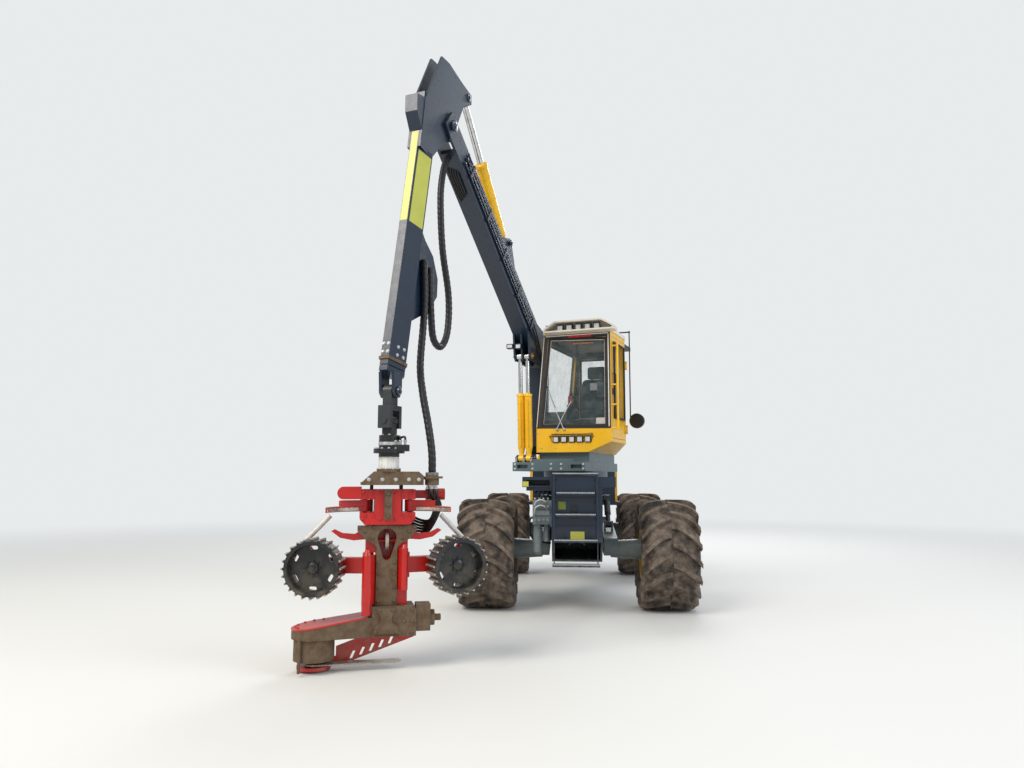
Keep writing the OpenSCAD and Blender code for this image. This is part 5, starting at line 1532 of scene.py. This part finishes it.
@dataclass
class FellingHead:
    """Screws, blade edges, saw chain, teeth and hoses of the head, with x across, y back and z up."""

    saw: Pair = (-0.62, 0.06)
    bar: float = 0.71
    bar_root: float = 0.06
    bar_nose: float = 0.045
    cutters: int = 60
    roller: float = 0.64
    roller_radius: float = 0.265
    roller_teeth: int = 24
    splay: float = 12.0

    def screws(self) -> None:
        """Makes the screws of the plates, panels and hanger, the body's ribs and the neck's sleeve."""
        dull = Shape(HEAD)
        dull.bolts([(x, 0.005, z) for x in (-0.07, 0.07) for z in (0.6, 0.72, 0.84, 0.94)],
                   AHEAD, 0.024, 0.01)
        spots = ((0.13, 1.16), (0.2, 1.22), (0.245, 1.255), (0.12, 1.255))
        dull.bolts([(s * x, 0.005, z) for s in (-1, 1) for x, z in spots], AHEAD, 0.022, 0.01)
        dull.bolts([(0, -0.05, z) for z in (1.36, 1.46, 1.56)], AHEAD, 0.026, 0.012)
        dull.bolts([(s * x, -0.082, z) for s in (-1, 1) for x, z in ((0.09, 0.345), (0.06, 0.535))],
                   AHEAD, 0.024, 0.012)
        dull.bolts([(x, -0.06, z) for x in (0.16, 0.23) for z in (0.33, 0.43, 0.53)], AHEAD, 0.022, 0.012)
        dull.piece("worn_screws", "head", Paint.WORN)
        red = Shape(HEAD)
        red.bolts([(s * x, -0.02, z) for s in (-1, 1) for x in (0.07, 0.225) for z in (1.33, 1.57)],
                  AHEAD, 0.02, 0.01)
        for k in range(6):
            t = k / 5 * 2.6 + 1.1
            x, y = self.saw[0] + 0.165 * math.cos(t), self.saw[1] + 0.165 * math.sin(t)
            red.bolts([(x, y, 0.47 + 0.0141 + (x + 0.125) * math.tan(math.radians(8)))],
                      (-0.139, 0, 0.99), 0.02, 0.01)
        red.piece("red_screws", "head", Paint.RED)
        ribs = Shape(HEAD)
        for x in (-0.2, -0.13, 0.13, 0.2):
            ribs.block((x - 0.006, -0.034, 1.35), (x + 0.006, -0.019, 1.385))
            ribs.block((x - 0.006, -0.034, 1.52), (x + 0.006, -0.019, 1.59))
        ribs.piece("body_ribs", "head", Paint.RED, bevel=0.002)
        hanger = Shape(HEAD)
        hanger.bolts([(x, -0.09, 1.69) for x in (-0.18, -0.06, 0.06, 0.18, 0.27)], AHEAD, 0.024, 0.012)
        turns = circle(10)
        hanger.bolts(np.stack([0.1 * np.cos(turns), 0.1 * np.sin(turns), np.full(10, 1.785)], -1),
                     UP, 0.016, 0.01)
        hanger.piece("hanger_screws", "hanger", Paint.GALVANISED)
        neck = Shape(HEAD)
        neck.turned([(0.091, 1.786), (0.0945, 1.787), (0.0945, 1.893), (0.091, 1.898)], (0, 0, 0), UP,
                    64, closed=True)
        neck.piece("hanger_neck_sleeve", "hanger", Paint.ZINC, smooth=45)

    def chain(self) -> None:
        """Makes the saw chain: a band round the bar's edge with a cutter every 27 mm."""
        r0, r1, long = self.bar_root, self.bar_nose, self.bar
        lean = math.asin((r0 - r1) / long)
        big = np.linspace(math.pi / 2 - lean, 1.5 * math.pi + lean, 40)
        small = np.linspace(lean - math.pi / 2, math.pi / 2 - lean, 28)
        loop = np.vstack([np.stack([r0 * np.cos(big), r0 * np.sin(big)], -1),
                          np.stack([long + r1 * np.cos(small), r1 * np.sin(small)], -1)])
        p = even_run(np.vstack([loop, loop[:1]]), 4 * self.cutters)
        d = unit(np.roll(p, -1, 0) - np.roll(p, 1, 0))
        out = np.stack([d[:, 1], -d[:, 0]], -1)
        rows = [np.column_stack([p + out * o, np.full(len(p), z)])
                for o, z in ((-0.004, 0.0595), (0.006, 0.0595), (0.006, 0.0725), (-0.004, 0.0725))]
        band = Shape(HEAD.inner(*self.saw, 0.0))
        band.grid(np.stack(rows, 1), round_u=True)
        for k in range(0, len(p), 4):
            at = np.array([*p[k], 0.0])
            e1, e2 = np.array([*d[k], 0.0]), np.array([*out[k], 0.0])
            prof = [(-0.007, 0.004), (0.007, 0.004), (0.007, 0.016), (0.003, 0.017), (-0.007, 0.012)]
            base = np.array([at + a * e1 + b * e2 for a, b in prof])
            band.grid(np.stack([base + [0, 0, 0.0605], base + [0, 0, 0.0715]]))
        band.piece("saw_chain", "saw_bar", Paint.BRIGHT)

    def knives(self) -> None:
        """Makes the ground edge along each knife and the rubbed plate at its tip."""
        edge = np.array([(0.262, 0.055), (0.322, 0.037), (0.372, 0.01), (0.415, -0.023), (0.452, -0.064),
                         (0.483, -0.11), (0.518, -0.165), (0.538, -0.218)])
        tip = np.array([(0.415, -0.023), (0.483, -0.11), (0.538, -0.218), (0.545, -0.222), (0.552, -0.212),
                        (0.545, -0.15), (0.527, -0.089), (0.502, -0.032), (0.465, 0.023)])
        for side, hand in (("left", 1), ("right", -1)):
            q = smooth_path(edge, 5)
            d = unit(np.gradient(q, axis=0))
            inward = np.stack([d[:, 1], -d[:, 0]], -1)
            inward *= np.sign(np.sum(inward * (np.array([0.1, -0.3]) - q), 1))[:, None]
            ground = ((-0.003, 1.399), (0.009, 1.408), (0.009, 1.412), (-0.003, 1.445))
            rows = [np.column_stack([q + inward * o, np.full(len(q), z)]) for o, z in ground]
            g = np.stack(rows, 1) * [hand, 1, 1]
            blade = Shape(HEAD)
            blade.grid(g if hand > 0 else g[:, ::-1])
            base = np.column_stack([tip * [hand, 1], np.full(len(tip), 1.4435)])
            base = base[::-1] if hand > 0 else base
            blade.grid(np.stack([base, base + [0, 0, 0.004]]))
            blade.piece(f"knife_edge_{side}", f"knife_{side}", Paint.BRIGHT, smooth=40)

    def rollers(self) -> None:
        """Makes the rubbed tooth caps, the hubs' screws, and the guard sleeve and hoses of each arm."""
        r = self.roller_radius
        for side, hand in (("left", 1), ("right", -1)):
            t = math.radians(self.splay)
            across = np.array([math.cos(t) * hand, math.sin(t), 0.0])
            ahead = np.array([math.sin(t) * hand, -math.cos(t), 0.0])
            up = np.array([0.0, 0.0, 1.0])
            middle = np.array([hand * self.roller, 0.0, 0.91])
            caps = Shape(HEAD)
            prof = np.array([(r - 0.013, -0.0103), (r + 0.0008, -0.0058), (r + 0.0012, 0.0058),
                             (r - 0.013, 0.0103)])
            for turn in circle(self.roller_teeth):
                e1 = math.cos(turn) * across + math.sin(turn) * up
                e2 = -math.sin(turn) * across + math.cos(turn) * up
                base = middle + prof[:, :1] * e1 + prof[:, 1:] * e2
                for z0, z1 in ((-0.1165, -0.0055), (0.0055, 0.1165)):
                    g = np.stack([base + ahead * z0, base + ahead * z1])
                    caps.grid(g if np.dot(np.cross(e1, e2), ahead) > 0 else g[:, ::-1])
            caps.piece(f"roller_teeth_{side}", f"roller_{side}", Paint.BRIGHT)
            hub = Shape(HEAD)
            spots = [middle + ahead * 0.031 + 0.062 * (math.cos(a) * across + math.sin(a) * up)
                     for a in circle(8)]
            hub.bolts(spots, tuple(ahead), 0.017, 0.01)
            hub.turned([(0.052, 0.0), (0.052, 0.012), (0.046, 0.018), (0.012, 0.022)],
                       middle + ahead * 0.0305, tuple(ahead), 36)
            hub.piece(f"roller_hub_screws_{side}", f"roller_{side}", Paint.BLACK, smooth=45)
            sleeve = Shape(HEAD)
            sleeve.turned(oblong(0.0205, 0.0, 0.0245, 0.37), (hand * (self.roller + 0.1302), 0.223, 1.0869),
                          (-hand * 0.6871, 0, 0.7266), 32, closed=True)
            sleeve.piece(f"arm_guard_sleeve_{side}", f"feed_arm_{side}", Paint.ZINC, smooth=45)
            line = Shape(HEAD)
            low = np.array([hand * 0.775, 0.223, 1.08])
            for k in range(2):
                knots = [low + [hand * 0.012 * k, 0.008 * k, 0.01],
                         low + [hand * (0.02 + 0.012 * k), 0.012, -0.05],
                         np.array([hand * (0.77 - 0.02 * k), 0.262, 0.98]),
                         np.array([hand * (0.7 - 0.02 * k), 0.262, 0.93 - 0.03 * k])]
                line.bent(knots, 0.01)
            line.piece(f"arm_hoses_{side}", f"feed_arm_{side}", Paint.HOSE, smooth=60)

    def hoses(self) -> None:
        """Makes the bundle that hangs from the swivel at the hanger's left down behind the body."""
        fittings, lines = Shape(HEAD), Shape(HEAD)
        for k, a in enumerate(circle(6, 0.3)):
            x, y = 0.4 + 0.042 * math.cos(a), 0.042 * math.sin(a)
            fittings.turned([(0.013, 0.0), (0.013, -0.02), (0.017, -0.02), (0.017, -0.036)],
                            (x, y, 1.64), UP, 6)
            knots = [(x, y, 1.606), (x + 0.01, y, 1.55), (0.44 + 0.012 * k, 0.1 + 0.012 * k, 1.42),
                     (0.4, 0.25, 1.3 - 0.02 * k), (0.27, 0.31, 1.33 - 0.03 * k),
                     (0.2, 0.275, 1.42 - 0.03 * k)]
            lines.bent(knots, 0.0125)
        for k in range(3):
            z = 1.728 + 0.009 * k
            fittings.turned([(0.0605, 0), (0.064, 0.001), (0.064, 0.004), (0.0605, 0.005)], (0.4, 0, z), UP,
                            40, closed=True)
        fittings.piece("swivel_fittings", "hanger", Paint.GALVANISED)
        lines.piece("hanger_hoses", "hanger", Paint.HOSE, smooth=60)

    def build(self) -> None:
        """Makes all the head's small pieces."""
        self.screws()
        self.chain()
        self.knives()
        self.rollers()
        self.hoses()


@dataclass
class Chassis:
    """Tread teeth, blank plates, valve hoses, lamps and screws of the two frames."""

    treads: tuple[Point, ...] = (
        (1.49, -1.13, 0.48), (1.225, -1.17, 0.5), (0.915, -1.215, 0.54), (0.625, -1.26, 0.58),
    )
    middle: float = -0.02
    panel: float = -1.02

    def ladder(self) -> None:
        """Makes the treads' serrated edges, the latch, the handle and the nose panel's blank plates."""
        teeth = Shape()
        for z, y, w in (*self.treads, (1.735, -1.06, 0.58)):
            n = int(w / 0.02)
            deep = 0.03 if z < 1.7 else 0.025
            for k in range(n):
                x = self.middle - w / 2 + (k + 0.5) * w / n
                teeth.prism([(-0.008, 0), (0.008, 0), (0.0, 0.012)], (x, y + 0.012, z + deep), LEFT, UP, 0.01)
            teeth.block((self.middle - w / 2 + 0.004, y - 0.0015, z + deep - 0.008),
                        (self.middle + w / 2 - 0.004, y + 0.001, z + deep))
        teeth.piece("tread_teeth", "front", Paint.GALVANISED)
        y = self.panel
        latch = Shape()
        latch.block((-0.085, y - 0.012, 1.19), (0.02, y, 1.367))
        latch.bent([(-0.032, y - 0.01, 1.34), (-0.032, y - 0.04, 1.32), (-0.032, y - 0.045, 1.27),
                    (-0.032, y - 0.03, 1.22)], 0.008, steps=6)
        latch.bent([(-0.1, y - 0.001, 0.872), (-0.08, y - 0.03, 0.9), (-0.005, y - 0.035, 0.912),
                    (0.07, y - 0.03, 0.9), (0.09, y - 0.001, 0.872)], 0.009, steps=6)
        latch.piece("panel_latch", "front", Paint.BLACK, smooth=50, bevel=0.003)
        plate = Shape()
        plate.prism(oblong(-0.085, 0.93, 0.09, 1.037), (0, y - 0.0005, 0), LEFT, UP, 0.003)
        plate.prism(oblong(0, 0, 0.075, 0.065), (-0.685, -1.001, 1.592), LEFT, UP, 0.004)
        plate.piece("blank_yellow_plate", "front", Paint.SIGNAL)
        Shape().prism(oblong(-0.237, 1.307, -0.142, 1.407), (0, y - 0.0005, 0), LEFT, UP, 0.002).piece(
            "blank_olive_plate", "front", Paint.OLIVE)
        seam = Shape()
        for z in (1.1, 1.45):
            seam.block((-0.285, y - 0.006, z), (0.245, y + 0.001, z + 0.012))
        seam.bolts([(x, y, z) for x in (-0.265, 0.225) for z in (0.95, 1.2, 1.4, 1.68)], AHEAD, 0.018, 0.009)
        seam.piece("panel_seams", "front", Paint.NAVY)

    def valves(self) -> None:
        """Makes the hoses, hard pipes and fittings round the valve block beside the nose."""
        pipes, lines, fittings = Shape(), Shape(), Shape()
        for k in range(4):
            x = -0.53 + 0.055 * k
            fittings.turned([(0.011, 0), (0.011, 0.016), (0.016, 0.016), (0.016, 0.034)],
                            (x, -0.92 + 0.03 * (k % 2), 1.418), UP, 6)
            knots = [(x, -0.92 + 0.03 * (k % 2), 1.45), (x, -0.92, 1.5), (x + 0.04, -0.86, 1.545),
                     (x + 0.1, -0.72, 1.54), (-0.335, -0.55 + 0.03 * k, 1.5)]
            lines.bent(knots, 0.011)
        for k in range(2):
            z = 1.33 - 0.07 * k
            knots = [(-0.535, -0.975, z - 0.05), (-0.54, -1.02, z), (-0.52, -1.045, z + 0.07),
                     (-0.46, -1.05, z + 0.1), (-0.4, -1.035, z + 0.08), (-0.36, -0.975, z + 0.02)]
            pipes.bent(knots, 0.0095)
        for k in range(4):
            knots = [(-0.56, -0.93 + 0.05 * k, 1.2), (-0.6, -0.93 + 0.05 * k, 1.17),
                     (-0.6, -0.9 + 0.04 * k, 1.0), (-0.52, -0.78 + 0.03 * k, 0.9),
                     (-0.34, -0.7 + 0.03 * k, 0.86)]
            lines.bent(knots, 0.012)
        pipes.piece("valve_pipes", "front", Paint.GALVANISED, smooth=60)
        lines.piece("valve_hoses", "front", Paint.HOSE, smooth=60)
        fittings.piece("valve_fittings", "front", Paint.GALVANISED)

    def rings(self) -> None:
        """Makes the screws of the slewing ring and the steering pin's caps."""
        ring = Shape()
        for a in circle(12):
            ring.bolts([(0.37 * math.cos(a), 0.37 * math.sin(a), 1.66)],
                       (math.cos(a), math.sin(a), 0), 0.022, 0.012)
        for z, way in ((1.35, 1), (0.77, -1)):
            ring.turned([(0.055, 0), (0.055, 0.008), (0.045, 0.014), (0.015, 0.018)], (0, 1.5, z),
                        (0, 0, way), 36)
        ring.piece("front_frame_screws", "front", Paint.GALVANISED, smooth=50)

    def tail(self) -> None:
        """Makes the tail lamps, the hood's screens and handles, the filler caps, clamps and screws."""
        lens, dark, caps = Shape(), Shape(), Shape()
        for s in (-1, 1):
            lens.block((s * 0.57 - 0.055, 4.492, 1.645), (s * 0.57 + 0.055, 4.502, 1.725))
            dark.ring(oblong(0, 0, 0.136, 0.106), (s * 0.57 - 0.068, 4.5, 1.632), LEFT, UP, 0.009,
                      -0.008, flip=True)
            dark.bent([(s * 0.25, 4.5, 1.36), (s * 0.25, 4.535, 1.37), (s * 0.16, 4.54, 1.37),
                       (s * 0.16, 4.5, 1.36)], 0.009, steps=6)
            caps.turned([(0.06, 1.902), (0.062, 1.906), (0.062, 1.925), (0.05, 1.932), (0.015, 1.934)],
                        (s * 0.55, 2.245, 0), UP, 36)
        lens.piece("tail_lamps", "hood", Paint.TAIL, bevel=0.006)
        for y in (2.62, 3.23, 3.84):
            for s in (-1, 1):
                dark.block((s * 0.7 - 0.004, y, 1.4), (s * 0.7 + 0.004, y + 0.46, 1.76))
        dark.block((-0.43, 4.464, 1.41), (0.43, 4.47, 1.93))
        dark.piece("hood_screens_and_handles", "hood", Paint.BLACK, smooth=50)
        caps.piece("filler_caps", "rear", Paint.BLACK, smooth=50)
        pipe = Shape()
        for z in (2.0, 2.26):
            pipe.turned(oblong(0.0385, z, 0.043, z + 0.02), (0.25, 2.245, 0), UP, 32, closed=True)
        for z in (1.8, 2.08):
            pipe.turned(oblong(0.0655, z, 0.069, z + 0.025), (0.25, 2.245, 0), UP, 40, closed=True)
        pipe.piece("exhaust_clamps", "rear", Paint.GALVANISED, smooth=50)
        screws = Shape()
        screws.bolts([(x, 4.5, z) for x in (-0.28, -0.1, 0.1, 0.28) for z in (0.88, 1.18)],
                     BACK, 0.024, 0.013)
        for s in (-1, 1):
            screws.bolts([(s * 0.32, y, 1.18) for y in (2.2, 2.9, 3.9, 4.35)], (s, 0, 0), 0.024, 0.013)
        screws.piece("rear_frame_screws", "rear", Paint.GALVANISED)

    def build(self) -> None:
        """Makes all the frames' small pieces."""
        self.ladder()
        self.valves()
        self.rings()
        self.tail()


# Stage


@dataclass
class Studio:
    """Floor, lights and the camera at the photograph's angle."""

    position: Point = (-0.164, -10.823, 1.722)
    yaw: float = 3.838
    pitch: float = 6.841
    roll: float = 0.12
    focal_px: float = 769.0
    width_px: float = 1024.0
    sensor_mm: float = 36.0
    target: Point = (-0.5, -1.0, 2.0)
    floor_half: float = 120.0
    sky: str = "#dfe5ea"
    sky_strength: float = 0.72
    backdrop: str = "#e8ebec"

    def camera(self) -> None:
        """Sets the camera: yaw turns it to the left, pitch lifts it and roll tips it, all in degrees."""
        data = bpy.data.cameras.new("camera")
        data.sensor_width = self.sensor_mm
        data.lens = self.focal_px / self.width_px * self.sensor_mm
        data.clip_end = 300.0
        cam = bpy.data.objects.new("camera", data)
        bpy.context.scene.collection.objects.link(cam)
        turns = ((self.yaw, "Z"), (90 + self.pitch, "X"), (self.roll, "Z"))
        yaw, pitch, roll = (Matrix.Rotation(math.radians(angle), 4, axis) for angle, axis in turns)
        cam.matrix_world = Matrix.Translation(self.position) @ yaw @ pitch @ roll
        bpy.context.scene.camera = cam

    def light(self, name: str, place: Point, size: float, watts: float, colour: str) -> None:
        """Adds a large square lamp that looks at the target.

        Args:
            name: the lamp's name.
            place: where it hangs.
            size: length of its sides.
            watts: its power.
            colour: its sRGB hex colour.
        """
        data = bpy.data.lights.new(name, "AREA")
        data.size, data.energy, data.color = size, watts, linear(colour)[:3]
        lamp = bpy.data.objects.new(name, data)
        lamp.location = place
        lamp.rotation_euler = (Vector(self.target) - Vector(place)).to_track_quat("-Z", "Y").to_euler()
        bpy.context.scene.collection.objects.link(lamp)

    def floor(self) -> None:
        """Lays a wide pale floor."""
        mesh = bpy.data.meshes.new("floor")
        far = self.floor_half
        mesh.from_pydata([(-far, -far, 0), (far, -far, 0), (far, far, 0), (-far, far, 0)], [], [(0, 1, 2, 3)])
        ground = bpy.data.objects.new("floor", mesh)
        bpy.context.scene.collection.objects.link(ground)
        mesh.materials.append(StudioFloor("pale_studio_floor", "", "#dcdbd6", 0.9).build())

    def world(self) -> None:
        """Sets a soft sky that lights the machine, and a paler one that the camera and the glass see."""
        world = bpy.data.worlds.new("studio")
        world.use_nodes = True
        tree = world.node_tree
        tree.nodes.clear()
        rays = add(tree, "LightPath").outputs
        seen = add(tree, "Math", {0: rays["Is Camera Ray"], 1: rays["Is Transmission Ray"]}, **LARGER)
        sky = add(tree, "Background", {"Color": linear(self.sky), "Strength": self.sky_strength})
        back = add(tree, "Background", {"Color": linear(self.backdrop), "Strength": 1.0})
        add(tree, "OutputWorld", {"Surface": add(tree, "MixShader", {0: seen, 1: sky, 2: back})})
        bpy.context.scene.world = world

    def build(self) -> None:
        """Sets up the view and the light."""
        bpy.context.scene.view_settings.view_transform = "Standard"
        self.camera()
        self.light("key_softbox", (-9.0, -12.0, 14.0), 9.0, 2300.0, "#fff8ee")
        self.light("fill_softbox", (12.0, -8.0, 8.0), 8.0, 900.0, "#edf2ff")
        self.light("back_softbox", (3.0, 14.0, 12.0), 9.0, 1500.0, "#f6f8ff")
        self.floor()
        self.world()


def dress_frame() -> None:
    """Gives each CAD node that stays in view its finish."""
    dress(Paint.NAVY, "front_frame", "ladder", "rear_frame", "tanks", "crane_base", "main_boom", "stick",
          "stick_extension")
    dress(Paint.SLATE, "front_arms", "rear_arms", "slew_ring", "deck")
    dress(Paint.LINK, "tip_link")
    dress(Paint.YELLOW, "engine_hood", "cab_shell", "cab_door", "lift_barrels", "stick_barrel",
          "steer_barrel_left", "steer_barrel_right", "rim_front_left", "rim_front_right", "rim_rear_left",
          "rim_rear_right")
    dress(Paint.WHITE, "cab_roof")
    dress(Paint.RED, "head_frame", "saw_covers", "feed_arm_left", "feed_arm_right",
          "knife_left", "knife_right")
    dress(Paint.WORN, "wear_plates", "head_hanger", "head_base", "saw_box")
    dress(Paint.BRIGHT, "saw_bar", "measuring_wheel")
    dress(Paint.CHROME, "lift_rods", "stick_rod", "steer_rod_left", "steer_rod_right")
    dress(Paint.BLACK, "rotator_cross", "feed_roller_left", "feed_roller_right", "cab_mirror")
    # the struts' blue-black partly paints the deep shade that they stand in beside the ladder
    dress(Paint.STRUT, "front_struts", "rear_struts")
    dress(Paint.IRON, "engine_block")
    dress(Paint.ALLOY, "valve_block")
    dress(Paint.GLASS, "cab_glass")
    dress(Paint.LENS, "cab_lamps")
    dress(Paint.ABS, "cab_controls")


def main() -> None:
    """Builds the stage, the finishes and every sub-assembly."""
    logging.basicConfig(level=logging.INFO, format="%(name)s: %(message)s")
    Studio().build()
    dress_frame()
    for part in (Hoses(), Tyres(), Rims(), Chassis(), Cab(), Seat(), Crane(), FellingHead()):
        part.build()


if __name__ == "__main__":
    main()
